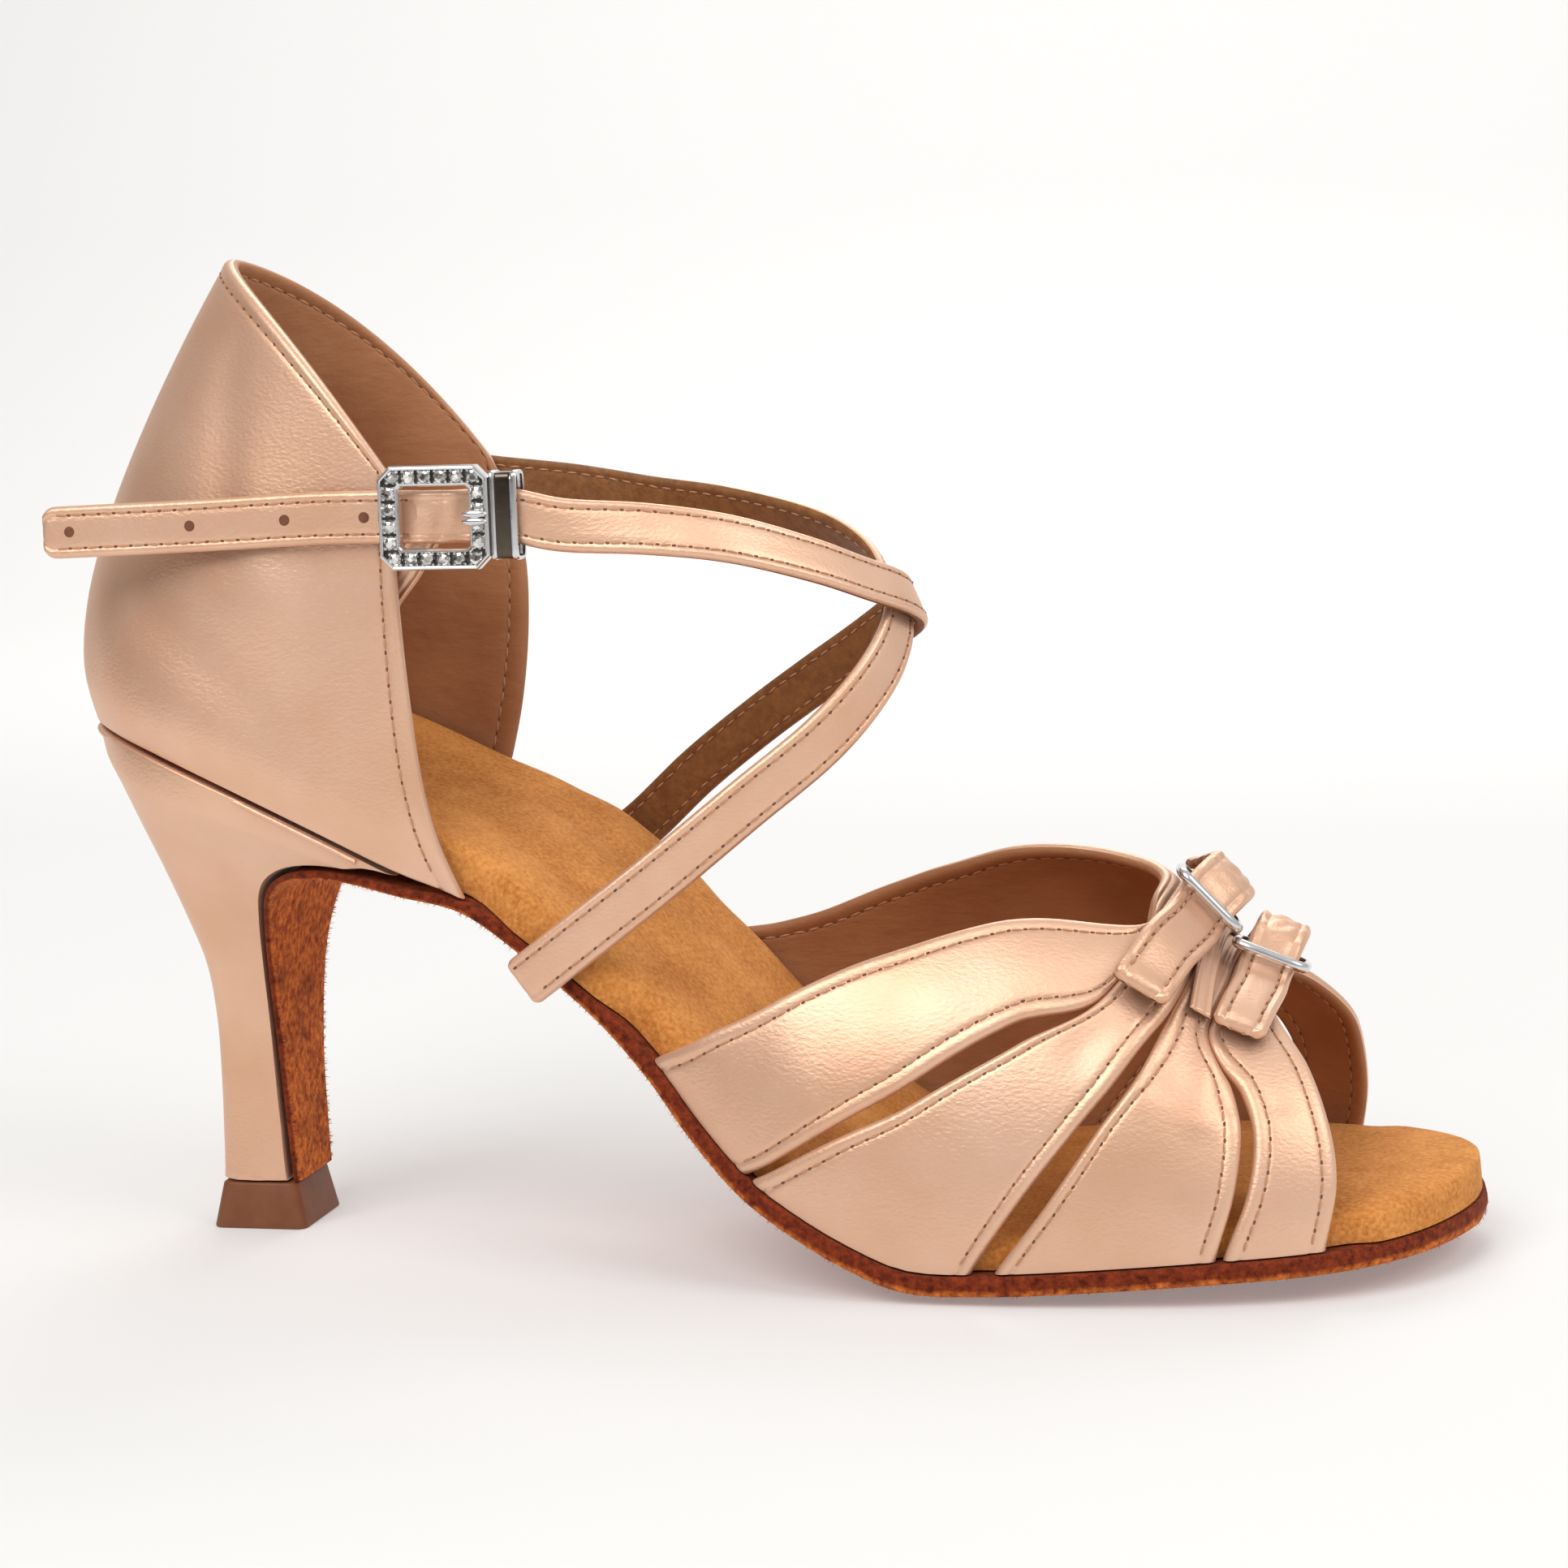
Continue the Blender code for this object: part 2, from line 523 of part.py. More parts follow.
def crest_height(x):
    """Height of the last's crest above the ball."""
    share = (x + SEAT_OVERHANG) / SOLE_LENGTH
    low, high = 0.0, len(CREST) - 1.0
    for _ in range(30):
        middle = (low + high) / 2
        if spline(CREST, middle)[0] < share:
            low = middle
        else:
            high = middle
    return spline(CREST, low)[1] * CREST_HEIGHT


def last_point(x, girth):
    """Point on the last; girth runs from 0 (outer feather edge) over the crest to 1."""
    _, z, outer, inner, _ = spline(FOOT, foot_place(x))
    outer += WELT
    inner -= WELT
    middle = (inner - outer) / 2 * CREST_SIDE
    across, up = cos(pi * girth), sin(pi * girth)
    half = middle - outer if across > 0 else inner - middle
    y = middle - half * abs(across) ** (2 / GIRTH_POWER) * (1 if across > 0 else -1)
    height = (SOLE_THICKNESS + crest_height(x) - z) * max(up, 0.0) ** (2 / GIRTH_POWER)
    return Vector((x, y, z + lift_at(x, y) + height + GAP))


def last_normal(x, girth):
    """Outward unit normal of the last."""
    girth = min(max(girth, 0.004), 0.996)
    along = last_point(x + 0.0005, girth) - last_point(x - 0.0005, girth)
    around = last_point(x, girth + 0.003) - last_point(x, girth - 0.003)
    return along.cross(around).normalized()


def fan_edge(edge, place):
    """Place along the sole and round the girth of a panel edge."""
    rows = FAN[edge][1]
    first, final = FAN_HUB
    if first <= place <= final and 0 < edge < len(FAN) - 1:
        twin = edge + 1 if edge % 2 else edge - 1
        pairs = zip(spline(rows, place), spline(FAN[twin][1], place))
        return [(a + b) / 2 for a, b in pairs]
    return spline(rows, place)


def fan_place(column, row):
    """Place in the fan: whole columns are panel edges, row runs over the pairs."""
    edge = min(int(column), len(FAN) - 2)
    share = column - edge
    pairs = zip(fan_edge(edge, row), fan_edge(edge + 1, row))
    along, girth = [a * (1 - share) + b * share for a, b in pairs]
    return along_x(along), min(max(girth, 0.0), 1.0)


def fan_point(column, row, depth):
    """Point in the vamp's wall; depth 0 is the outer face and 1 the lining."""
    x, girth = fan_place(column, row)
    inward = last_normal(x, girth) * -VAMP_WALL * depth
    if girth < 0.004 or girth > 0.996:
        inward.z = 0.0
    return last_point(x, girth) + inward


def fan_columns():
    """Columns of the vamp's grid: several in a panel, one in a slit."""
    columns = [0.0]
    for panel, count in enumerate(FAN_COLUMNS):
        columns += even(2 * panel, 2 * panel + 1, count)[1:]
        if panel < len(FAN_COLUMNS) - 1:
            columns.append(2 * panel + 2.0)
    return columns


def in_panel(column, _row):
    """Whether a face lies in a panel and not in a slit."""
    return int(column) % 2 == 0


# Straps: flat ribbons along a route


def strap_place(along, side, up):
    """World point of a strap row."""
    x = along_x(along)
    y = side * HALF_WIDTHS["seat"]
    z = spline(FOOT, foot_place(x))[1] + lift_at(x, y) + up * INSTEP_HEIGHT
    return Vector((x, y, z))


def strap_facing(point, _place):
    """Rough outward direction of a strap at a point."""
    ahead = point.x - along_x(STRAP_AXIS_ALONG)
    return Vector((ahead, point.y, max(ahead, 0.0) * STRAP_LEAN))


def ribbon_frame(route, place, facing):
    """Point, outward direction and width direction of a ribbon at a row place."""
    point = Vector(spline(route, place))
    run = Vector(spline(route, place + 0.1)) - Vector(spline(route, place - 0.1))
    run.normalize()
    out = facing(point, place)
    out = (out - run * out.dot(run)).normalized()
    return point, out, out.cross(run).normalized()


def ribbon(name, route, facing, width, thickness, steps, finish_material, collection):
    """Flat ribbon along a route, as a solid."""
    def layer(depth):
        def point_at(across, place):
            point, out, side = ribbon_frame(route, place, facing)
            return point + side * across * width / 2 + out * thickness * (0.5 - depth)
        return point_at

    places = even(0, len(route) - 1, (len(route) - 1) * steps)
    return stack(name, [-1.0, 0.0, 1.0], places, [layer(0), layer(1)],
                 finish_material, collection)


def upper_strap_route():
    """Tail, ankle buckle, instep and inner end of the upper strap."""
    corner = counter_point(-1, STRAP_LEVEL * len(COUNTER))
    beside = corner.y - STRAP_THICKNESS / 2 - 2.5 * GAP
    window = corner.x + BUCKLE_LENGTH / 2
    behind = (BUCKLE_LENGTH - BUCKLE_RIM) / 2
    rows = [
        (corner.x - TAIL_LENGTH, beside - GAP, corner.z - TAIL_DROP),
        (corner.x - TAIL_LENGTH * 0.55, beside - GAP, corner.z - TAIL_DROP * 0.5),
        (corner.x - TAIL_LENGTH * 0.2, beside - GAP, corner.z),
        (window - behind, beside, corner.z),
        (window, beside - BUCKLE_THICKNESS * 0.85, corner.z),
        (window + behind, beside, corner.z),
        (window + BUCKLE_LENGTH * 0.62, beside + GAP, corner.z),
    ]
    beyond_keeper = corner.x + BUCKLE_LENGTH + KEEPER_LENGTH + STRAP_RUN_OUT
    behind_first = beyond_keeper - along_x(UPPER_STRAP[0][0])
    for index, row in enumerate(UPPER_STRAP):
        moved = Vector((behind_first * max(1 - index / 4, 0.0), 0, 0))
        rows.append(tuple(strap_place(*row) + moved))
    return rows


def strap_at(x):
    """Middle of the upper strap beside the ankle buckle, at a world X."""
    route = upper_strap_route()
    low, high = 0.0, len(route) / 2
    for _ in range(30):
        middle = (low + high) / 2
        if spline(route, middle)[0] < x:
            low = middle
        else:
            high = middle
    return Vector(spline(route, low))


def lower_strap_route():
    """Lower strap, from the heel cup's inner corner to its outer end."""
    corner = counter_point(1, len(COUNTER))
    beside = corner.y + STRAP_THICKNESS / 2 + 2 * GAP
    rows = [
        (corner.x - STRAP_WIDTH, beside + 5 * GAP, corner.z - STRAP_WIDTH * 0.34),
        (corner.x + GAP, beside + 3 * GAP, corner.z - STRAP_WIDTH * 0.48),
    ]
    return rows + [tuple(strap_place(*row)) for row in LOWER_STRAP]


def tab_route():
    """Tab that holds the ankle buckle, from inside the heel cup up behind the strap."""
    corner = counter_point(-1, STRAP_LEVEL * len(COUNTER))
    inside = corner.y + COUNTER_WALL + STRAP_THICKNESS / 2
    under_strap = corner.y + STRAP_THICKNESS * 0.75
    return [
        (corner.x - TAB_REACH * 0.07, inside + GAP, corner.z - TAB_LENGTH),
        (corner.x + TAB_REACH * 0.15, inside, corner.z - TAB_LENGTH * 0.64),
        (corner.x + TAB_REACH * 0.59, inside - 4 * GAP, corner.z - TAB_LENGTH * 0.32),
        (corner.x + TAB_REACH * 0.91, under_strap, corner.z),
        (corner.x + TAB_REACH, under_strap, corner.z + TAB_LENGTH * 0.12),
    ]


def band_route(rows, thickness, hump=0.0):
    """Route of a small band over the vamp, from its outer end to the inner side."""
    route = []
    for along, girth, share in rows:
        x = along_x(along)
        off = GAP * 1.5 + thickness / 2 + hump * share
        route.append(tuple(last_point(x, girth) + last_normal(x, girth) * off))
    return route


def band_facing(rows):
    """Outward direction along a small band: the last's own."""
    def facing(_point, place):
        along, girth, _ = spline(rows, place)
        return last_normal(along_x(along), girth)
    return facing


def wire_loop(name, centre, run, side, length, width, finish_material, collection):
    """Closed wire with cut corners, in the plane of two directions."""
    curve = bpy.data.curves.new(name, "CURVE")
    curve.dimensions = "3D"
    curve.bevel_depth = BAND_BUCKLE_WIRE
    curve.bevel_resolution = 2
    cut = length * 0.18
    corners = [
        (length / 2 - cut, width / 2), (length / 2, width / 2 - cut),
        (length / 2, cut - width / 2), (length / 2 - cut, -width / 2),
        (cut - length / 2, -width / 2), (-length / 2, cut - width / 2),
        (-length / 2, width / 2 - cut), (cut - length / 2, width / 2),
    ]
    path = curve.splines.new("POLY")
    path.points.add(len(corners) - 1)
    for point, (ahead, beside) in zip(path.points, corners):
        point.co = (*(centre + run * ahead + side * beside), 1.0)
    path.use_cyclic_u = True
    curve.materials.append(finish_material)
    made = bpy.data.objects.new(name, curve)
    collection.objects.link(made)
    return made


def plate_ring(name, outer, corner, window, thickness, finish_material, collection):
    """Flat ring in the XZ plane: outer and window are sizes along X and Z."""
    mesh_builder = bmesh.new()
    loops = []
    for (length, height), cut in ((outer, corner), (window, corner * 0.4)):
        places = [
            (length / 2 - cut, height / 2), (length / 2, height / 2 - cut),
            (length / 2, cut - height / 2), (length / 2 - cut, -height / 2),
            (cut - length / 2, -height / 2), (-length / 2, cut - height / 2),
            (-length / 2, height / 2 - cut), (cut - length / 2, height / 2),
        ]
        made = [mesh_builder.verts.new((x, -thickness / 2, z)) for x, z in places]
        loops += [mesh_builder.edges.new((made[i - 1], made[i])) for i in range(len(made))]
    bmesh.ops.bridge_loops(mesh_builder, edges=loops)
    faces = list(mesh_builder.faces)
    moved = bmesh.ops.extrude_face_region(mesh_builder, geom=faces, use_keep_orig=True)["geom"]
    for item in moved:
        if isinstance(item, bmesh.types.BMVert):
            item.co.y += thickness
    bmesh.ops.recalc_face_normals(mesh_builder, faces=mesh_builder.faces)
    mesh = bpy.data.meshes.new(name)
    mesh_builder.to_mesh(mesh)
    mesh_builder.free()
    return finish(name, mesh, finish_material, collection)


def block(name, size, taper, rounding, place, finish_material, collection):
    """Box with rounded upright edges whose top is shorter and slimmer than its base."""
    mesh_builder = bmesh.new()
    bmesh.ops.create_cube(mesh_builder, size=1.0)
    bmesh.ops.scale(mesh_builder, vec=size, verts=mesh_builder.verts)
    for vertex in mesh_builder.verts:
        if vertex.co.z > 0:
            vertex.co.x *= 1 - 2 * taper / size[0]
            vertex.co.y *= 1 - taper / size[1]
    upright = [edge for edge in mesh_builder.edges
               if abs(edge.verts[0].co.z - edge.verts[1].co.z) > size[2] / 2]
    bmesh.ops.bevel(mesh_builder, geom=upright, offset=rounding, segments=3, profile=0.5,
                    affect="EDGES", material=-1)
    mesh = bpy.data.meshes.new(name)
    mesh_builder.to_mesh(mesh)
    mesh_builder.free()
    made = finish(name, mesh, finish_material, collection)
    made.location = place
    return made


def build():
    """Model the whole shoe."""
    for old in list(bpy.data.objects):
        bpy.data.objects.remove(old, do_unlink=True)
    shoe = bpy.data.collections.new("dance_sandal")
    guides = bpy.data.collections.new("guides")
    for collection in (shoe, guides):
        bpy.context.scene.collection.children.link(collection)

    satin = material("satin", (0.72, 0.47, 0.34), 0.38)
    suede = material("sole suede", (0.36, 0.09, 0.03), 0.95)
    sock = material("insole suede", (0.60, 0.27, 0.08), 0.9)
    rubber = material("tip rubber", (0.24, 0.10, 0.05), 0.5)
    nickel = material("nickel", (0.80, 0.80, 0.80), 0.2, 1.0)

    across = [-1.0, -0.92, -0.75, -0.5, 0.0, 0.5, 0.75, 0.92, 1.0]
    sole_places = (even(0, 2, 4) + even(2, FIRST_HEEL_ROW, 2 * FIRST_HEEL_ROW - 4)[1:]
                   + even(FIRST_HEEL_ROW, SOLE_END, len(HEEL) * 2)[1:])
    stack("outsole", across, sole_places,
          [lambda u, v: sole_point(u, v, 0), lambda u, v: sole_point(u, v, 1)], suede, shoe)

    back_places = [(i / 7) ** 1.8 * HEEL_ROUND for i in range(8)] + even(HEEL_ROUND, 1, 3)[1:]
    levels = [
        (lambda u, v, level=level: heel_section(level, u, v))
        for level in reversed(range(len(HEEL)))
    ]
    stack("heel", even(-1, 1, 4), back_places, levels, satin, shoe)

    block("heel_tip", (TIP_LENGTH, TIP_WIDTH, TIP_HEIGHT), TIP_TAPER, TIP_ROUNDING,
          (0, 0, TIP_HEIGHT / 2), rubber, shoe)

    insole_places = (even(0, 2, 5) + even(2, FOOT_END - 2, 2 * FOOT_END - 8)[1:]
                     + even(FOOT_END - 2, FOOT_END, 5)[1:])
    insole_across = [-1.0, -0.96, -0.88, -0.7, -0.4, 0.0, 0.4, 0.7, 0.88, 0.96, 1.0]
    stack("insole", insole_across, insole_places,
          [lambda u, v: insole_point(u, v, 0), lambda u, v: insole_point(u, v, 1)], sock, shoe)

    counter_top = len(COUNTER)
    stack("counter", even(-1, 1, 28), even(0, counter_top, 12),
          [counter_point, lambda u, v: counter_point(u, v) - counter_normal(u, v) * COUNTER_WALL],
          satin, shoe)

    fan_rows = even(0, len(FAN[0][1]) - 1, (len(FAN[0][1]) - 1) * FAN_ROWS_PER_PAIR)
    stack("vamp", fan_columns(), fan_rows,
          [lambda u, v: fan_point(u, v, 0), lambda u, v: fan_point(u, v, 1)],
          satin, shoe, keep=in_panel)

    lower = ribbon("lower_strap", lower_strap_route(), strap_facing, STRAP_WIDTH,
                   STRAP_THICKNESS, 3, satin, guides)
    lower.hide_render = True
    lower.display_type = "WIRE"
    straps = ribbon("cross_straps", upper_strap_route(), strap_facing, STRAP_WIDTH,
                    STRAP_THICKNESS, 3, satin, shoe)
    joined = straps.modifiers.new("crossing", "BOOLEAN")
    joined.operation = "UNION"
    joined.object = lower

    ribbon("buckle_tab", tab_route(), lambda *_: Vector((0, -1, 0)), TAB_WIDTH,
           STRAP_THICKNESS * 0.6, 2, satin, shoe)

    corner = counter_point(-1, STRAP_LEVEL * counter_top)
    window = (BUCKLE_LENGTH - 2 * BUCKLE_RIM, BUCKLE_HEIGHT - 2 * BUCKLE_RIM)
    frame_y = corner.y - STRAP_THICKNESS - 7 * GAP - BUCKLE_THICKNESS / 2
    frame = plate_ring("ankle_buckle", (BUCKLE_LENGTH, BUCKLE_HEIGHT), BUCKLE_CORNER,
                       window, BUCKLE_THICKNESS, nickel, shoe)
    frame.location = (corner.x + BUCKLE_LENGTH / 2, frame_y, corner.z)
    block("buckle_prong", (PRONG_LENGTH, PRONG_THICKNESS, PRONG_HEIGHT), 0.0,
          PRONG_ROUNDING, (corner.x + BUCKLE_LENGTH - PRONG_LENGTH / 2,
           frame_y - (BUCKLE_THICKNESS + PRONG_THICKNESS) / 2 - GAP, corner.z), nickel, shoe)
    depth = STRAP_THICKNESS + 4 * GAP
    keeper = plate_ring("buckle_keeper", (depth + 2 * KEEPER_WALL, KEEPER_HEIGHT), KEEPER_WALL,
                        (depth, KEEPER_HEIGHT - 2 * KEEPER_WALL), KEEPER_LENGTH, nickel, shoe)
    keeper_x = corner.x + BUCKLE_LENGTH + KEEPER_LENGTH / 2 - 2 * GAP
    keeper.rotation_euler = (0, 0, pi / 2)
    keeper.location = (keeper_x, strap_at(keeper_x).y, corner.z)

    for name, rows, hump, width, rise in (
            ("rear_band", REAR_BAND, REAR_HUMP, REAR_BAND_WIDTH, REAR_BUCKLE_RISE),
            ("front_band", FRONT_BAND, FRONT_HUMP, FRONT_BAND_WIDTH, FRONT_BUCKLE_RISE)):
        route = band_route(rows, STRAP_THICKNESS, hump)
        ribbon(name, route, band_facing(rows), width, STRAP_THICKNESS, 2, satin, shoe)
        ground = band_route(rows, 0.0)
        _, out, side = ribbon_frame(ground, BAND_BUCKLE_AT, band_facing(rows))
        centre = Vector(spline(ground, BAND_BUCKLE_AT)) + out * rise
        run = side.cross(out) * cos(BAND_BUCKLE_TILT) - out * sin(BAND_BUCKLE_TILT)
        span = width + 2 * BAND_BUCKLE_WIRE + 4 * GAP
        wire_loop(name + "_buckle", centre, run, side, BAND_BUCKLE_LENGTH, span, nickel, shoe)
    ribbon("centre_band", band_route(CENTRE_BAND, CENTRE_BAND_THICKNESS), band_facing(CENTRE_BAND),
           CENTRE_BAND_WIDTH, CENTRE_BAND_THICKNESS, 2, satin, shoe)


build()
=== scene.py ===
"""Open-toe dance sandal for the right foot: rose-gold satin, suede sole, flared heel.

Metres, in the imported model's frame: +X to the toe, +Y to the inner side, +Z up, and the
origin under the heel tip. Every piece repeats the shape of the solid that it replaces.
"""

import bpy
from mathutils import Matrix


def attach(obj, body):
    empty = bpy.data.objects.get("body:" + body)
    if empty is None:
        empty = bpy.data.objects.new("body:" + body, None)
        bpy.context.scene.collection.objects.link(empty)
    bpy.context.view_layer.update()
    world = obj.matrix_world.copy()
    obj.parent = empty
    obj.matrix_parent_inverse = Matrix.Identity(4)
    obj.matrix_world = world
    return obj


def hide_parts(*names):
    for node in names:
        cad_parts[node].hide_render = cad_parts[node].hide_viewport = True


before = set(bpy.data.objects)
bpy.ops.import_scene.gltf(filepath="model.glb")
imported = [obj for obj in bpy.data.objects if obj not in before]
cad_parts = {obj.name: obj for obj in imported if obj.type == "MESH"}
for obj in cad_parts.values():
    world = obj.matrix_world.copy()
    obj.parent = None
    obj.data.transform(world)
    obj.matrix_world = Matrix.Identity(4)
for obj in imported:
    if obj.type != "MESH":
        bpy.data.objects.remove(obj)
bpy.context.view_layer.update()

import random
from bisect import bisect_left
from math import copysign, cos, exp, pi, radians, sin, sqrt

import bmesh
import bpy
from mathutils import Matrix, Vector

# The view: a long lens a little above the shoe, turned towards the toe and tilted a touch.
# It stands half a metre from the outer side, as the photograph was taken.
LENS_MM = 86.65
FILM_MM = 36.0
LENS_PLACE = (0.20525, -0.52568, 0.13899)
TOE_TURN = radians(13.3)
DOWN_TILT = radians(7.7)
ROLL = radians(-1.9)
camera_data = bpy.data.cameras.new("view")
camera_data.sensor_width = FILM_MM
camera_data.lens = LENS_MM
camera_data.clip_start = 0.01
camera = bpy.data.objects.new("view", camera_data)
bpy.context.scene.collection.objects.link(camera)
camera.matrix_world = (Matrix.Translation(LENS_PLACE) @ Matrix.Rotation(TOE_TURN, 4, "Z")
                       @ Matrix.Rotation(pi / 2 - DOWN_TILT, 4, "X")
                       @ Matrix.Rotation(ROLL, 4, "Z"))
bpy.context.scene.camera = camera

# The studio: a pale sweep of paper that rises behind the shoe and has a lamp of its own, a
# wide soft box over the outer side, weaker ones over the toe and behind, and a bright room.
SWEEP_HALF = 2.4
SWEEP_START = 0.9           # metres behind the shoe at which the paper begins to rise
SWEEP_RISE = 0.8            # metres up for a metre squared past the start
SWEEP_WIDER = 1.6
ROOM_LEAN = 0.6             # how much the room brightens towards the toe, against upwards
LAMPS = [
    # name             place                 aim                 size  watts
    ("soft_box_outer", (-0.22, -0.80, 0.90), (0.07, 0.0, 0.05),  0.75, 7.7),
    ("soft_box_toe",   (0.85, -0.35, 0.75),  (0.10, 0.0, 0.03),  0.50, 3.0),
    ("soft_box_back",  (0.05, 0.80, 0.80),   (0.07, 0.0, 0.05),  0.60, 3.5),
    ("paper_light",    (-0.10, 0.85, 1.15),  (-0.10, 2.20, 0.60), 1.20, 9.5),
]


def linear(hex_colour):
    """Linear RGBA of an sRGB hex value such as 'd9b092'."""
    parts = [int(hex_colour[i:i + 2], 16) / 255 for i in (0, 2, 4)]
    return tuple(p / 12.92 if p <= 0.04045 else ((p + 0.055) / 1.055) ** 2.4
                 for p in parts) + (1.0,)


def node(material, kind, links=(), **settings):
    """Add a node; links are (input name or number, source socket)."""
    made = material.node_tree.nodes.new(kind)
    for key, value in settings.items():
        if key.startswith("in_"):
            made.inputs[int(key[3:]) if key[3:].isdigit() else key[3:].replace("_", " ")] \
                .default_value = value
        else:
            setattr(made, key, value)
    for target, source in links:
        material.node_tree.links.new(source, made.inputs[target])
    return made


def finish_of(name, hex_colour, roughness, **sockets):
    """A material and its Principled shader."""
    material = bpy.data.materials.new(name)
    material.use_nodes = True
    shader = material.node_tree.nodes["Principled BSDF"]
    shader.inputs["Base Color"].default_value = linear(hex_colour)
    shader.inputs["Roughness"].default_value = roughness
    for key, value in sockets.items():
        shader.inputs[key.replace("_", " ")].default_value = value
    return material, shader


def wire(material, socket, source):
    """Link a source into a shader's socket."""
    material.node_tree.links.new(source, socket)


sweep_mesh = bmesh.new()
bmesh.ops.create_grid(sweep_mesh, x_segments=2, y_segments=60, size=SWEEP_HALF)
for vertex in sweep_mesh.verts:
    past = max(vertex.co.y - SWEEP_START, 0.0)
    vertex.co.z = past ** 2 * SWEEP_RISE
    vertex.co.x *= SWEEP_WIDER
sweep_data = bpy.data.meshes.new("paper_sweep")
sweep_mesh.to_mesh(sweep_data)
sweep_mesh.free()
sweep_data.shade_smooth()
sweep = bpy.data.objects.new("paper_sweep", sweep_data)
bpy.context.scene.collection.objects.link(sweep)
# Matt background paper: nearly white, with no gloss
paper, _ = finish_of("matt background paper", "cfcecc", 0.95, Specular_IOR_Level=0.1,
                     Emission_Color=linear("f0f3f6"), Emission_Strength=0.24)
sweep_data.materials.append(paper)

room = bpy.data.worlds.new("bright room")
bpy.context.scene.world = room
room.use_nodes = True
# The room is brighter overhead and towards the toe than behind the heel, and warmer where it
# is dark, so the satin and the nickel have something dark and something bright to mirror
room_place = node(room, "ShaderNodeTexCoord").outputs["Generated"]
room_axes = node(room, "ShaderNodeSeparateXYZ", [(0, room_place)])
room_tilt = node(room, "ShaderNodeMath",
                 [(0, room_axes.outputs["X"]), (2, room_axes.outputs["Z"])],
                 operation="MULTIPLY_ADD", in_1=ROOM_LEAN)
room_glow = node(room, "ShaderNodeMapRange", [("Value", room_tilt.outputs[0])],
                 in_From_Min=-0.7, in_From_Max=1.2, in_To_Min=0.06, in_To_Max=0.80)
room_warmth = node(room, "ShaderNodeMapRange", [("Value", room_tilt.outputs[0])],
                   in_From_Min=-0.7, in_From_Max=0.6)
room_tint = node(room, "ShaderNodeMix", [(0, room_warmth.outputs[0])], data_type="RGBA",
                 in_6=linear("e6c6b2"), in_7=linear("fbfaf8"))
room_shader = room.node_tree.nodes["Background"]
wire(room, room_shader.inputs["Color"], room_tint.outputs[2])
wire(room, room_shader.inputs["Strength"], room_glow.outputs["Result"])

for lamp_name, place, aim, size, watts in LAMPS:
    lamp_data = bpy.data.lights.new(lamp_name, "AREA")
    lamp_data.shape = "SQUARE"
    lamp_data.size = size
    lamp_data.energy = watts
    lamp = bpy.data.objects.new(lamp_name, lamp_data)
    bpy.context.scene.collection.objects.link(lamp)
    lamp.location = place
    lamp.rotation_euler = (Vector(aim) - Vector(place)).to_track_quat("-Z", "Y").to_euler()
bpy.context.scene.view_settings.view_transform = "Standard"

# The insole: a padded sock of tan suede over the whole bed, a little thicker in the middle
# and raised round the heel. It is glued down and drawn in where the upper stands on the sole.
SOLE_LENGTH = 0.2031
SEAT_OVERHANG = 0.0227
HEEL_HEIGHT = 0.0770
SOLE_THICKNESS = 0.0042
TOE_SPRING = 0.0038
ARCH_LIFT = 0.0075
GAP = 0.0003
HALF_WIDTHS = {"ball": 0.0381, "waist": 0.0250, "seat": 0.0265}
INSOLE_THICKNESS = 0.0052
INSOLE_EDGE = 0.0006
PAD_EDGE = 0.52             # thickness of the sock beside its edge, as a share of the middle's
END_ROWS = 3                # rows of the footprint over which the sock's ends are rounded
HEEL_CUP = 0.0042
HEEL_CUP_MIDDLE = 0.06      # shares of the sole's length
HEEL_CUP_REACH = 0.22
COUNTER_REACH = 0.0396
VAMP_SPAN = (0.434, 0.9105)     # shares of the sole's length between which the vamp stands
MOST_INSET = 0.45           # share of the sole's width that an inset may take at the ends
VAMP_WALL = 0.0018
WELT = 0.0008               # how far the sole's edge stands out beyond the vamp
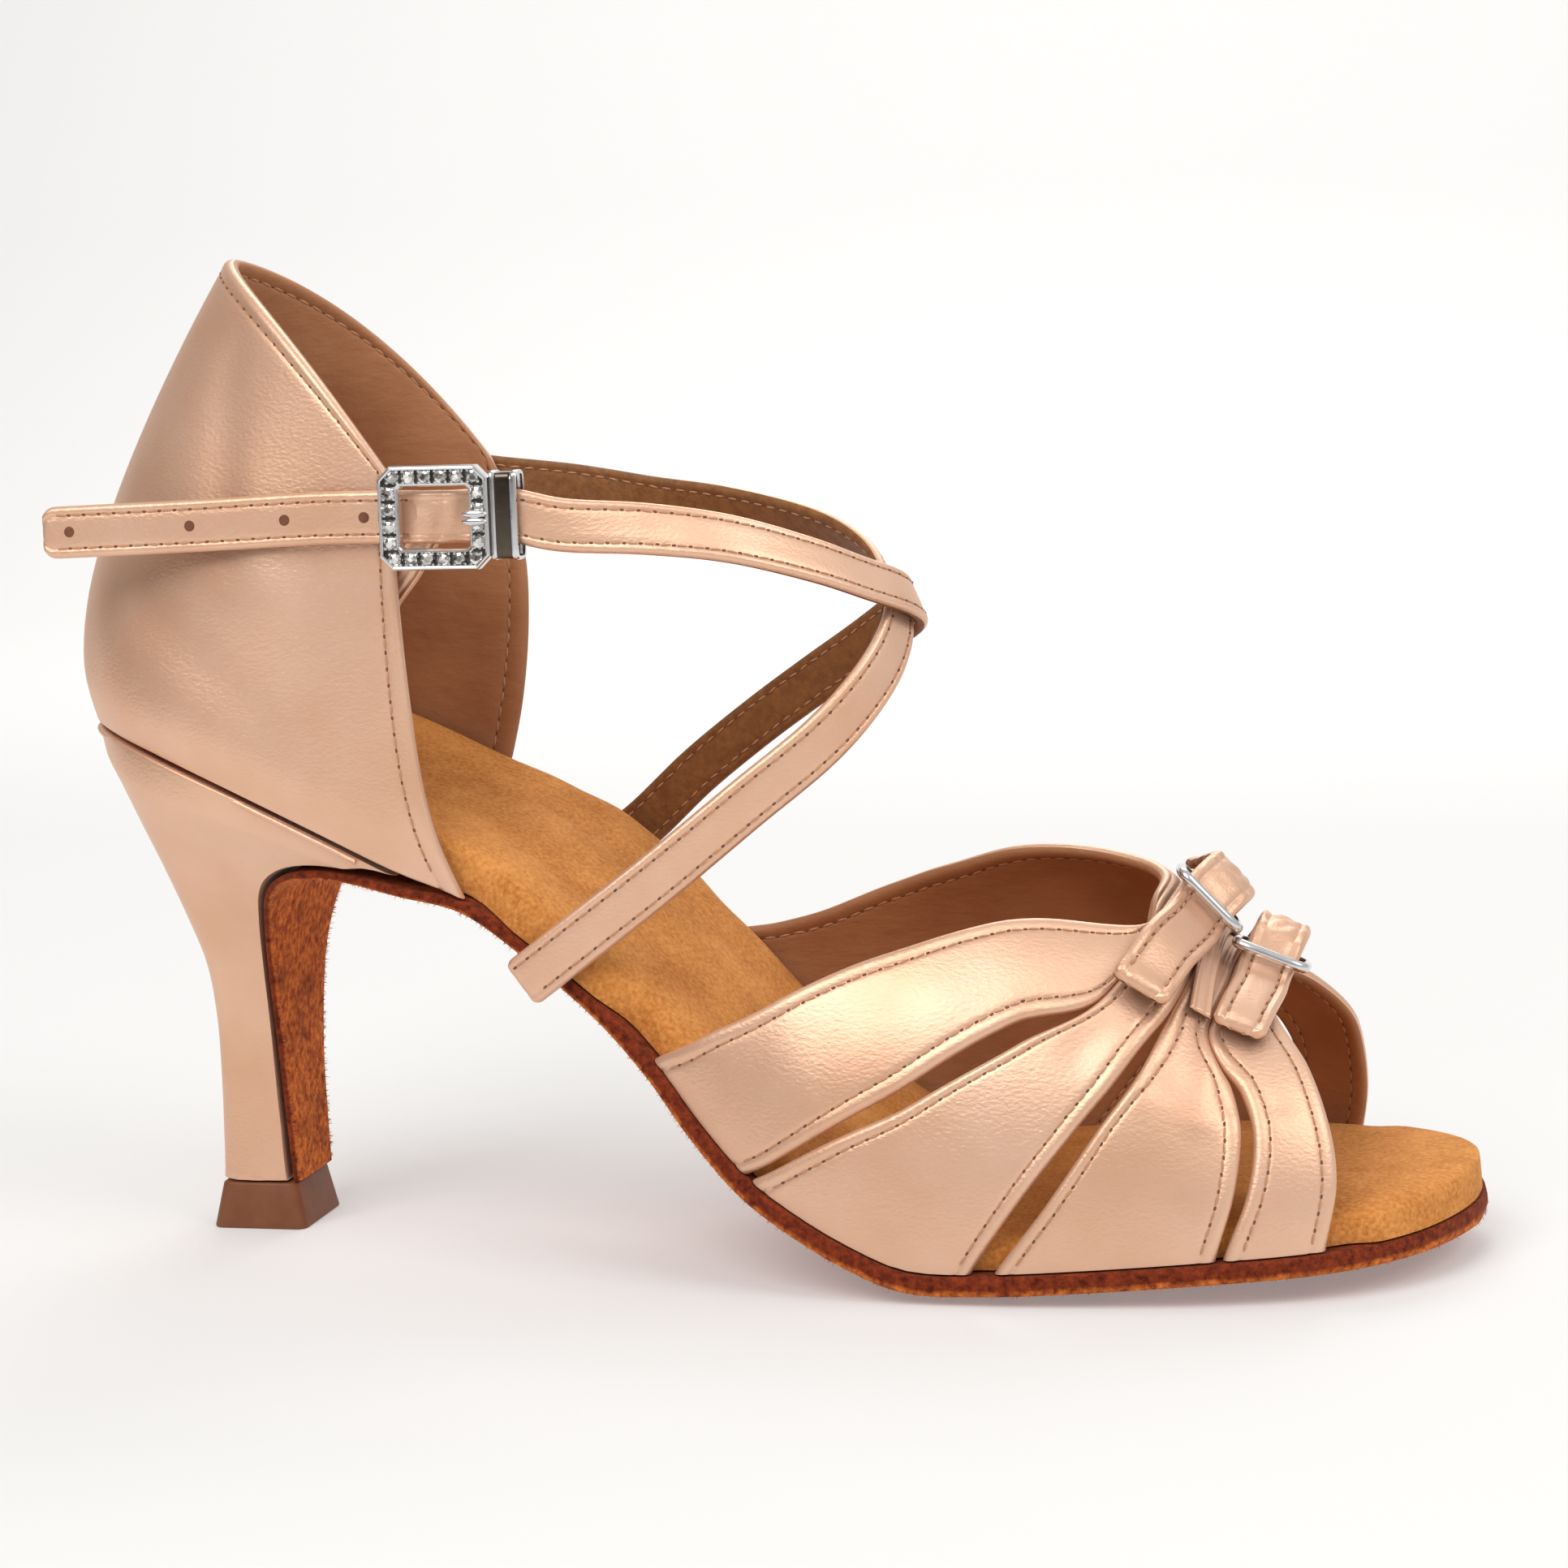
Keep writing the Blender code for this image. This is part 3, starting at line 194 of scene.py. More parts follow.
FOOTPRINT = [
    # size     along   rise    spring outer   inner  lift
    ("ball",   1.000,  0.000,  1.00,  0.040,  0.040, 0.00),
    ("ball",   0.995,  0.000,  0.98, -0.170,  0.235, 0.00),
    ("ball",   0.981,  0.000,  0.92, -0.383,  0.415, 0.00),
    ("ball",   0.959,  0.000,  0.83, -0.583,  0.572, 0.00),
    ("ball",   0.927,  0.000,  0.74, -0.756,  0.714, 0.00),
    ("ball",   0.885,  0.000,  0.63, -0.882,  0.840, 0.00),
    ("ball",   0.821,  0.000,  0.47, -0.974,  0.934, 0.00),
    ("ball",   0.747,  0.000,  0.20, -1.016,  0.982, 0.00),
    ("ball",   0.683,  0.000,  0.00, -1.029,  0.971, 0.00),
    ("ball",   0.629,  0.002,  0.00, -1.026,  0.913, 0.02),
    ("ball",   0.589,  0.042,  0.00, -1.008,  0.845, 0.24),
    ("ball",   0.550,  0.098,  0.00, -0.974,  0.777, 0.50),
    ("ball",   0.516,  0.158,  0.00, -0.919,  0.724, 0.72),
    ("ball",   0.481,  0.252,  0.00, -0.848,  0.677, 0.88),
    ("ball",   0.447,  0.356,  0.00, -0.759,  0.648, 0.97),
    ("waist",  0.407,  0.460,  0.00, -1.048,  0.972, 1.00),
    ("waist",  0.358,  0.567,  0.00, -1.000,  0.976, 1.00),
    ("waist",  0.309,  0.659,  0.00, -0.992,  1.000, 0.84),
    ("seat",   0.259,  0.720,  0.00, -0.974,  0.966, 0.68),
    ("seat",   0.200,  0.803,  0.00, -1.004,  0.996, 0.42),
    ("seat",   0.141,  0.880,  0.00, -0.985,  0.985, 0.16),
    ("seat",   0.085,  0.942,  0.00, -0.880,  0.880, 0.00),
    ("seat",   0.042,  0.978,  0.00, -0.682,  0.682, 0.00),
    ("seat",   0.012,  0.996,  0.00, -0.385,  0.385, 0.00),
    ("seat",   0.000,  1.000,  0.00,  0.000,  0.000, 0.00),
]


def spline(rows, place):
    """Smooth value through rows of numbers, read at a row place such as 2.5."""
    last_row = len(rows) - 1
    place = min(max(place, 0.0), last_row)
    first = min(int(place), last_row - 1)
    t = place - first
    a, b = rows[max(first - 1, 0)], rows[first]
    c, d = rows[first + 1], rows[min(first + 2, last_row)]
    return [
        0.5 * (2 * q + (r - p) * t + (2 * p - 5 * q + 4 * r - s) * t * t
               + (3 * q - p - 3 * r + s) * t ** 3)
        for p, q, r, s in zip(a, b, c, d)
    ]


def along_x(share):
    """World X of a share of the sole's length."""
    return share * SOLE_LENGTH - SEAT_OVERHANG


FOOT = [
    (along_x(along), SOLE_THICKNESS + rise * (HEEL_HEIGHT - SOLE_THICKNESS) + spring * TOE_SPRING,
     outer * HALF_WIDTHS[size], inner * HALF_WIDTHS[size], lift * ARCH_LIFT)
    for size, along, rise, spring, outer, inner, lift in FOOTPRINT
]
FOOT_END = len(FOOT) - 1
FINE_FOOT = sorted((spline(FOOT, i / 100) + [i / 100] for i in range(100 * FOOT_END + 1)),
                   key=lambda row: row[0])
FINE_FOOT_X = [row[0] for row in FINE_FOOT]


def between(table, keys, key):
    """Straight reading of a fine table at a key."""
    i = min(max(bisect_left(keys, key), 1), len(keys) - 1)
    t = min(max((key - keys[i - 1]) / max(keys[i] - keys[i - 1], 1e-9), 0.0), 1.0)
    return [a * (1 - t) + b * t for a, b in zip(table[i - 1], table[i])]


def foot_at(x):
    """x, z, outer side, inner side, lift and row place of the bed at a world X."""
    return between(FINE_FOOT, FINE_FOOT_X, x)


def lift_at(x, y):
    """Height that the inner side of the waist gains at a place."""
    _, _, outer, inner, lift, _ = foot_at(x)
    return lift * min(max((y - outer) / max(inner - outer, GAP), 0.0), 1.0)


def bed(place, across, inset=0.0):
    """Point on the last's underside; across runs from -1 (outer) to 1 (inner)."""
    x, z, outer, inner, lift = spline(FOOT, place)
    inset = min(inset, max(inner - outer, 0.0) * MOST_INSET)
    share = (across + 1) / 2
    y = (outer + inset) * (1 - share) + (inner - inset) * share
    return Vector((x, y, z + lift * (y - outer) / max(inner - outer, GAP)))


def slope_normal(rows, place):
    """Unit normal in the XZ plane, to the left of a route that runs from toe to heel."""
    ahead = spline(rows, place + 0.05)
    behind = spline(rows, place - 0.05)
    return Vector((ahead[1] - behind[1], 0.0, behind[0] - ahead[0])).normalized()


def even(first, last, count):
    """Places from first to last in even steps."""
    return [first + (last - first) * i / count for i in range(count + 1)]


def finish_piece(mesh_builder, name, nodes, materials, crisp=0.7):
    """Turn a bmesh into a piece that rides on the shoe; edges past crisp radians are sharp."""
    bmesh.ops.recalc_face_normals(mesh_builder, faces=mesh_builder.faces)
    data = bpy.data.meshes.new(name)
    mesh_builder.to_mesh(data)
    mesh_builder.free()
    data.shade_smooth()
    data.set_sharp_from_angle(angle=crisp)
    for material in materials:
        data.materials.append(material)
    piece = bpy.data.objects.new(name, data)
    bpy.context.scene.collection.objects.link(piece)
    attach(piece, "root")
    if nodes:
        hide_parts(*nodes)
    return piece


def add_skin(mesh_builder, columns, rows, place, material_index=0):
    """Grid of faces whose corners sit where place(column, row) puts them, with a UV map."""
    grid = bmesh.ops.create_grid(mesh_builder, x_segments=len(columns) - 1,
                                 y_segments=len(rows) - 1, size=0.5)["verts"]
    uv_map = mesh_builder.loops.layers.uv.verify()
    seats = {}
    for vertex in grid:
        i = round((vertex.co.x + 0.5) * (len(columns) - 1))
        j = round((vertex.co.y + 0.5) * (len(rows) - 1))
        seats[vertex] = (i, j)
    for vertex, (i, j) in seats.items():
        vertex.co = place(columns[i], rows[j])
    for face in {face for vertex in grid for face in vertex.link_faces}:
        face.material_index = material_index
        for loop in face.loops:
            i, j = seats[loop.vert]
            loop[uv_map].uv = (i / (len(columns) - 1), j / (len(rows) - 1))
    return grid


def tuck(x):
    """How far the insole's edge keeps inside the sole's, where the upper stands on it."""
    behind_upper = VAMP_WALL + WELT + 2 * GAP
    vamp_rear, vamp_front = [along_x(share) for share in VAMP_SPAN]
    steps = (
        # metres before or past the foot of the cup or the vamp, share of the tuck
        (COUNTER_REACH + 0.0006, 1), (COUNTER_REACH + 0.0080, 0),
        (vamp_rear - 0.0080, 0), (vamp_rear - 0.0012, 1),
        (vamp_front + 0.0003, 1), (vamp_front + 0.0060, 0),
    )
    share = 1.0
    for (start, before), (end, after) in zip(steps[::2], steps[1::2]):
        if x >= start:
            t = min((x - start) / (end - start), 1.0)
            share = before + (after - before) * t * t * (3 - 2 * t)
    return INSOLE_EDGE + (behind_upper - INSOLE_EDGE) * share


# Wear folds of the sock: start and end as (x mm, y mm), half width and depth in mm
SOCK_FOLDS = [
    # x0    y0     x1    y1    width depth
    (38.0, -9.0,  84.0, -15.0, 3.6,  0.45),
    (46.0,  2.0,  80.0,  -3.0, 2.6, -0.25),
    (44.0,  9.0,  74.0,  10.0, 3.2,  0.40),
    (56.0, -19.0, 76.0, -22.0, 1.8,  0.25),
    (120.0, 3.0, 150.0,   5.0, 9.0,  0.50),
    (84.0,  1.0, 112.0,   0.0, 9.0,  0.45),
]


def fold_depth(folds, a, b):
    """Depth in metres of the soft troughs of a table at a place given in millimetres."""
    total = 0.0
    for a0, b0, a1, b1, width, depth in folds:
        run_a, run_b = a1 - a0, b1 - b0
        t = ((a - a0) * run_a + (b - b0) * run_b) / (run_a ** 2 + run_b ** 2)
        t = min(max(t, 0.0), 1.0)
        away = ((a - a0 - t * run_a) ** 2 + (b - b0 - t * run_b) ** 2) / width ** 2
        if away < 9:    # three half widths off, nothing is left of a fold
            total += depth * 0.001 * exp(-away)
    return total


def insole_point(across, place, depth):
    """Point in the insole; depth 0 is its underside and 1 its padded top."""
    x = spline(FOOT, place)[0]
    ends = [max(1 - away / END_ROWS, 0.0) ** 2 for away in (place, FOOT_END - place)]
    edge = 1 - (1 - abs(across) ** 4) * (1 - ends[0]) * (1 - ends[1])
    inset = tuck(x)
    shorter = Vector((inset * (ends[1] - ends[0]), 0, 0))
    pad = PAD_EDGE + (1 - PAD_EDGE) * sqrt(max(1 - edge ** 2, 0.0))
    from_cup = abs(x / SOLE_LENGTH - HEEL_CUP_MIDDLE)
    cup = HEEL_CUP * max(1 - from_cup / HEEL_CUP_REACH, 0.0) * abs(across) ** 3
    point = bed(place, across, inset)
    height = GAP + (INSOLE_THICKNESS * pad + cup) * depth
    height -= fold_depth(SOCK_FOLDS, point.x * 1000, point.y * 1000) * depth
    return point + shorter + slope_normal(FOOT, place) * height


sock_mesh = bmesh.new()
sock_across = [-1.0, -0.99, -0.97, -0.94, -0.89, -0.82] + even(-0.72, 0.72, 22) + [
    0.82, 0.89, 0.94, 0.97, 0.99, 1.0]
sock_places = even(0, END_ROWS, 30) + even(END_ROWS, FOOT_END - END_ROWS, 108)[1:]
sock_places += even(FOOT_END - END_ROWS, FOOT_END, 30)[1:]
add_skin(sock_mesh, sock_across, sock_places, lambda u, v: insole_point(u, v, 1))
add_skin(sock_mesh, sock_across, sock_places, lambda u, v: insole_point(u, v, 0))
sock_rim = [edge for edge in sock_mesh.edges if edge.is_boundary]
bmesh.ops.bridge_loops(sock_mesh, edges=sock_rim)
bmesh.ops.remove_doubles(sock_mesh, verts=sock_mesh.verts, dist=1e-6)

# Suede: split leather with a raised nap, so it is matt, soft and a little patchy. Patches
# are about 11 mm wide and tufts 0.7 mm, coarser than the real nap so that they show.
sock_suede, sock_shader = finish_of("tan insole suede", "c98b4a", 0.95, Sheen_Weight=0.25,
                                    Sheen_Roughness=0.6, Sheen_Tint=linear("e9b67c"),
                                    Specular_IOR_Level=0.2)
sock_place = node(sock_suede, "ShaderNodeTexCoord").outputs["Object"]
sock_cloud = node(sock_suede, "ShaderNodeTexNoise", [("Vector", sock_place)],
                  in_Scale=90.0, in_Detail=6.0, in_Roughness=0.6)
sock_nap = node(sock_suede, "ShaderNodeTexNoise", [("Vector", sock_place)],
                in_Scale=1500.0, in_Detail=4.0)
sock_mix = node(sock_suede, "ShaderNodeMath",
                [(0, sock_cloud.outputs["Fac"]), (1, sock_nap.outputs["Fac"])], operation="ADD")
sock_ramp = node(sock_suede, "ShaderNodeMapRange", [("Value", sock_mix.outputs[0])],
                 in_From_Min=0.75, in_From_Max=1.25)
sock_colour = node(sock_suede, "ShaderNodeMix", [(0, sock_ramp.outputs[0])], data_type="RGBA",
                   in_6=linear("b0682c"), in_7=linear("dc9650"))
wire(sock_suede, sock_shader.inputs["Base Color"], sock_colour.outputs[2])
sock_bump = node(sock_suede, "ShaderNodeBump", [("Height", sock_nap.outputs["Fac"])],
                 in_Strength=0.5, in_Distance=0.0003)
wire(sock_suede, sock_shader.inputs["Normal"], sock_bump.outputs[0])
finish_piece(sock_mesh, "insole_sock", ["insole"], [sock_suede])

# The outsole: brushed suede from the toe over the waist and on down the heel's front. Its
# cut edge is burnished red-brown above and frays into pale orange fluff along the ground.
FLAP_THICKNESS = 0.0014
TIP_HEIGHT = 0.0069
FIRST_HEEL_ROW = 18
SLIM_FROM = 10              # row of the sole at which it begins to thin towards the flap
EDGE_THINNING = 0.36        # share that the sole loses at its cut edge
TOE_ROWS = 4
HEEL = [
    # front_along front_rise flap_half back_along back_rise block_half
    (0.260,       0.7090,    0.960,    0.002,     1.000,    0.985),
    (0.225,       0.7290,    0.930,    0.009,     0.955,    0.950),
    (0.192,       0.7340,    0.870,    0.022,     0.895,    0.880),
    (0.166,       0.7200,    0.780,    0.036,     0.815,    0.770),
    (0.149,       0.6840,    0.680,    0.051,     0.720,    0.640),
    (0.140,       0.6170,    0.550,    0.064,     0.620,    0.500),
    (0.135,       0.5250,    0.430,    0.075,     0.520,    0.380),
    (0.134,       0.4150,    0.350,    0.079,     0.415,    0.310),
    (0.1345,      0.3050,    0.300,    0.0795,    0.305,    0.280),
    (0.136,       0.2000,    0.278,    0.0790,    0.200,    0.272),
    (0.138,       0.0950,    0.262,    0.0780,    0.095,    0.278),
]
SEAT_HALF = HALF_WIDTHS["seat"]
SOLE = [row[:4] for row in FOOT[:FIRST_HEEL_ROW]]
SOLE += [(along_x(row[0]), row[1] * HEEL_HEIGHT, -row[2] * SEAT_HALF, row[2] * SEAT_HALF)
         for row in HEEL]
SOLE[-1] = (SOLE[-1][0], TIP_HEIGHT + GAP, SOLE[-1][2], SOLE[-1][3])
SOLE_END = len(SOLE) - 1


def seat_share(level):
    """How far a level of the heel still follows the tilt of the seat."""
    return min(max(1 - level / 4, 0.0), 1.0)


def sole_point(across, place, depth):
    """Point in the sole; depth 0 is its upper face and 1 its lower one."""
    x, z, outer, inner = spline(SOLE, place)
    share = (across + 1) / 2
    y = outer * (1 - share) + inner * share
    slim = min(max((place - SLIM_FROM) / (FIRST_HEEL_ROW - SLIM_FROM), 0.0), 1.0)
    thickness = SOLE_THICKNESS * (1 - slim) + FLAP_THICKNESS * slim
    toe = max(1 - place / TOE_ROWS, 0.0)
    side = max((abs(across) - 0.5) / 0.5, 0.0)
    edge = 1 - (1 - side ** 2) * (1 - toe ** 2)
    thickness *= 1 - EDGE_THINNING * edge * (1 - 0.7 * slim)
    lower = slope_normal(SOLE, place) * -thickness * depth
    point = Vector((x, y, z + lift_at(x, y) * seat_share(place - FIRST_HEEL_ROW))) + lower
    if place < FIRST_HEEL_ROW:
        point.z = max(point.z, 0.0)
    return point


def sole_station(station, place):
    """Point round the sole's section: across, depth and rounding of its cut edges."""
    across, depth, inset = station
    _, _, outer, inner = spline(SOLE, place)
    half = max((inner - outer) / 2, 0.001)
    point = sole_point(across * (1 - inset / half), place, depth)
    if place < 1:
        point.x -= inset * (1 - place)
    return point


def close_up(mesh_builder, weld=1e-6):
    """Weld the corners that meet in a skin and fill the flat ends that are left open."""
    bmesh.ops.remove_doubles(mesh_builder, verts=mesh_builder.verts, dist=weld)
    open_ends = [edge for edge in mesh_builder.edges if edge.is_boundary]
    bmesh.ops.holes_fill(mesh_builder, edges=open_ends, sides=0)


# The section's lines: across both faces, and depth and rounding down the cut edge
sole_faces = [-0.995, -0.97, -0.93, -0.86] + even(-0.75, 0.75, 14) + [0.86, 0.93, 0.97, 0.995]
sole_wall = [(0.02, 0.0003), (0.08, 0.0001), (0.2, 0.0), (0.35, 0.0), (0.5, 0.0), (0.64, 0.0),
             (0.78, 0.00005), (0.9, 0.0002), (0.97, 0.0004)]
sole_section = [(across, 0.0, 0.0004) for across in sole_faces]
sole_section += [(1.0, depth, inset) for depth, inset in sole_wall]
sole_section += [(across, 1.0, 0.0006) for across in reversed(sole_faces)]
sole_section += [(-1.0, depth, inset) for depth, inset in reversed(sole_wall)]
sole_section.append(sole_section[0])
sole_mesh = bmesh.new()
sole_rows = even(0, 3, 36) + even(3, FIRST_HEEL_ROW - 1, 112)[1:] + even(
    FIRST_HEEL_ROW - 1, FIRST_HEEL_ROW + 5, 60)[1:] + even(FIRST_HEEL_ROW + 5, SOLE_END, 40)[1:]
add_skin(sole_mesh, sole_section, sole_rows, sole_station)
close_up(sole_mesh)
wall_first = len(sole_faces) / (len(sole_section) - 1)
wall_last = (len(sole_faces) + len(sole_wall)) / (len(sole_section) - 1)

# Chrome-tanned suede: its cut edge is dyed and burnished, its face and lower rim are napped,
# so the light rolls over the fluff and the colour wanders with the nap. Tufts are drawn
# 1.1 mm wide and clumps 4 mm, coarser than the real ones so that they show.
edge_suede, edge_shader = finish_of("napped sole suede", "8f4226", 0.92, Sheen_Weight=0.15,
                                    Sheen_Roughness=0.5, Sheen_Tint=linear("f0a070"),
                                    Specular_IOR_Level=0.2)
edge_place = node(edge_suede, "ShaderNodeTexCoord").outputs
edge_uv = node(edge_suede, "ShaderNodeSeparateXYZ", [(0, edge_place["UV"])])
edge_fluff = node(edge_suede, "ShaderNodeTexNoise", [("Vector", edge_place["Object"])],
                  in_Scale=900.0, in_Detail=5.0, in_Roughness=0.65)
edge_clump = node(edge_suede, "ShaderNodeTexNoise", [("Vector", edge_place["Object"])],
                  in_Scale=260.0, in_Detail=3.0)


def over_wall(start, end):
    """Shader value that rises along the sole's section between two UV places."""
    return node(edge_suede, "ShaderNodeMapRange", [("Value", edge_uv.outputs["X"])],
                interpolation_type="SMOOTHSTEP", in_From_Min=start, in_From_Max=end).outputs[0]


wall_span = wall_last - wall_first
dye_ends, nap_begins = 0.45 * wall_span, 0.95 * wall_span
inner_low = over_wall(wall_first + dye_ends, wall_first + nap_begins)
outer_low = over_wall(1 - dye_ends, 1 - nap_begins)
low_both = node(edge_suede, "ShaderNodeMath", [(0, inner_low), (1, outer_low)],
                operation="MULTIPLY")
low_rough = node(edge_suede, "ShaderNodeMath",
                 [(0, low_both.outputs[0]), (1, edge_clump.outputs["Fac"])], operation="MULTIPLY",
                 use_clamp=True)
low_share = node(edge_suede, "ShaderNodeMapRange", [("Value", low_rough.outputs[0])],
                 in_From_Min=0.18, in_From_Max=0.52)
fluff_share = node(edge_suede, "ShaderNodeMapRange", [("Value", edge_fluff.outputs["Fac"])],
                   in_From_Min=0.34, in_From_Max=0.66)
dyed = node(edge_suede, "ShaderNodeMix", [(0, fluff_share.outputs[0])], data_type="RGBA",
            in_6=linear("4c1408"), in_7=linear("8c3718"))
napped = node(edge_suede, "ShaderNodeMix", [(0, fluff_share.outputs[0])], data_type="RGBA",
              in_6=linear("8c2f06"), in_7=linear("ee8a3c"))
edge_colour = node(edge_suede, "ShaderNodeMix",
                   [(0, low_share.outputs[0]), (6, dyed.outputs[2]), (7, napped.outputs[2])],
                   data_type="RGBA")
wire(edge_suede, edge_shader.inputs["Base Color"], edge_colour.outputs[2])
edge_bump = node(edge_suede, "ShaderNodeBump", [("Height", edge_fluff.outputs["Fac"])],
                 in_Strength=0.8, in_Distance=0.0006)
wire(edge_suede, edge_shader.inputs["Normal"], edge_bump.outputs[0])
finish_piece(sole_mesh, "suede_sole", ["outsole"], [edge_suede])

# Loose fibres of the suede: short tapered tufts that stand out of the sole's lower rim and
# of the flap's edges, where the leather was cut and brushed.
FIBRE_COUNT = 2200
FIBRE_LENGTH = 0.0009
FIBRE_RADIUS = 0.00007
FIBRE_GROUND = 0.0012       # below this height a fibre lies flat, clear of the floor
fibre_draw = random.Random(5)
fibre_mesh = bmesh.new()
for _ in range(FIBRE_COUNT):
    fibre_row = fibre_draw.uniform(0.5, SOLE_END - 0.1)
    fibre_side = fibre_draw.choice((-1, 1)) if fibre_row > 2 else fibre_draw.uniform(-1, 1)
    fibre_root = sole_point(fibre_side * 0.985, fibre_row, fibre_draw.uniform(0.75, 1.0))
    fibre_out = Vector((0.5 if fibre_row < 2 else 0.0, fibre_side, 0.0))
    fibre_out -= slope_normal(SOLE, fibre_row) * fibre_draw.uniform(0.2, 1.4)
    fibre_out += Vector([fibre_draw.uniform(-0.6, 0.6) for _ in range(3)])
    fibre_length = FIBRE_LENGTH * fibre_draw.uniform(0.4, 1.0)
    if fibre_root.z < FIBRE_GROUND:
        fibre_out.z = abs(fibre_out.z) * 0.1
    fibre_turn = fibre_out.to_track_quat("Z", "Y").to_matrix().to_4x4()
    fibre_place = Matrix.Translation(fibre_root + fibre_out.normalized() * fibre_length * 0.4)
    bmesh.ops.create_cone(fibre_mesh, segments=3, radius1=FIBRE_RADIUS, radius2=0.0,
                          depth=fibre_length, cap_ends=True, matrix=fibre_place @ fibre_turn)


def mottled(material, shader, shades, relief, scale, **pattern):
    """Let a finish wander between two shades and stand up in relief with one noise."""
    place = node(material, "ShaderNodeTexCoord").outputs["Object"]
    cloud = node(material, "ShaderNodeTexNoise", [("Vector", place)], in_Scale=scale,
                 **pattern).outputs["Fac"]
    if shades:
        colour = node(material, "ShaderNodeMix", [(0, cloud)], data_type="RGBA",
                      in_6=linear(shades[0]), in_7=linear(shades[1]))
        wire(material, shader.inputs["Base Color"], colour.outputs[2])
    if relief:
        bump = node(material, "ShaderNodeBump", [("Height", cloud)], in_Strength=relief[0],
                    in_Distance=relief[1])
        wire(material, shader.inputs["Normal"], bump.outputs[0])


# The fluff is the same suede, bleached where it stands clear of the edge
fluff_suede, fluff_shader = finish_of("suede fluff", "cf7f48", 0.95, Sheen_Weight=0.3)
mottled(fluff_suede, fluff_shader, ("97391c", "d0804f"), None, 700.0)
finish_piece(fibre_mesh, "sole_fluff", [], [fluff_suede])

# The heel: a moulded block wrapped in the same satin as the upper, drawn tight and lapped
# under the suede flap. It is slightly gathered where the wrap turns in above the tip.
HEEL_ROUND = 0.55           # share of a section, from the back, that is rounded
HEEL_SQUARENESS = (2.0, 3.2)    # power of the rounding at the seat and at the tip
HEEL_TURN_IN = 0.0007
HEEL_TURN_ROWS = 0.12       # rows over which the wrap turns in at either end
HEEL_LEVELS = len(HEEL) - 1
GATHER_ROWS = 1.2
GATHER_DEPTH = 0.00007


def heel_section(level, across, along):
    """Point of a heel section; along runs from the back (0) to the front (1)."""
    front_along, front_rise, flap_half, back_along, back_rise, block_half = spline(HEEL, level)
    normal = slope_normal(SOLE, FIRST_HEEL_ROW + level)
    front = Vector((along_x(front_along), 0, front_rise * HEEL_HEIGHT)) + normal * GAP * 2.5
    back = Vector((along_x(back_along), 0, back_rise * HEEL_HEIGHT))
    low = max(level - HEEL_LEVELS + 1, 0.0)
    front.z = front.z * (1 - low) + (TIP_HEIGHT + GAP) * low
    back.z = back.z * (1 - low) + (TIP_HEIGHT + GAP) * low
    point = back.lerp(front, along)
    block = block_half * SEAT_HALF
    if along < HEEL_ROUND:
        at_seat, at_tip = HEEL_SQUARENESS
        squareness = at_seat + (at_tip - at_seat) * level / HEEL_LEVELS
        half = block * (1 - (1 - along / HEEL_ROUND) ** squareness) ** (1 / squareness)
    else:
        blend = (along - HEEL_ROUND) / (1 - HEEL_ROUND)
        half = block * (1 - blend) + min(flap_half * SEAT_HALF, block * 1.05) * blend
    point.y = half * across
    near_seat = max(1 - level, 0.0)
    if near_seat > 0:
        row = foot_at(max(point.x, FOOT[-1][0] + GAP))
        point.z = point.z * (1 - near_seat) + (row[1] - GAP) * near_seat
    point.z += lift_at(point.x, point.y) * seat_share(level)
    return point


def heel_wall(station, level):
    """Point round the heel's wall, drawn in at its top and bottom edges."""
    across, along = station
    point = heel_section(level, across, along)
    to_end = min(level, HEEL_LEVELS - level)
    turn = 1 - sqrt(1 - max(1 - to_end / HEEL_TURN_ROWS, 0.0) ** 2)
    middle = heel_section(level, 0.0, 0.5)
    inward = Vector((middle.x - point.x, middle.y - point.y, 0.0))
    if inward.length > 0:
        point += inward.normalized() * HEEL_TURN_IN * turn
    gather = max(level - HEEL_LEVELS + GATHER_ROWS, 0.0)
    if gather > 0 and inward.length > 0:
        # Ripples about 2.4 mm apart up the heel and nearly half the section apart round it
        ripple = sin(point.z * 2600 + sin(along * 9.0) * 2.0) * sin(along * 14.0 + across)
        point += inward.normalized() * GATHER_DEPTH * ripple * gather
    return point


heel_loop = [(1.0, along) for along in reversed([(i / 22) ** 1.8 * HEEL_ROUND for i in range(23)]
                                                 + even(HEEL_ROUND, 0.985, 14)[1:])]
heel_loop += [(-across, along) for across, along in reversed(heel_loop[:-1])]
heel_loop += [(across, 1.0) for across in even(-0.96, 0.96, 12)]
heel_loop.append(heel_loop[0])
heel_levels = [0.0, 0.01, 0.03, 0.06, 0.09, 0.12] + even(0.2, 9.7, 76) + [
    9.8, 9.88, 9.91, 9.94, 9.97, 9.99, 10.0]
heel_mesh = bmesh.new()
add_skin(heel_mesh, heel_loop, heel_levels, heel_wall)
close_up(heel_mesh)

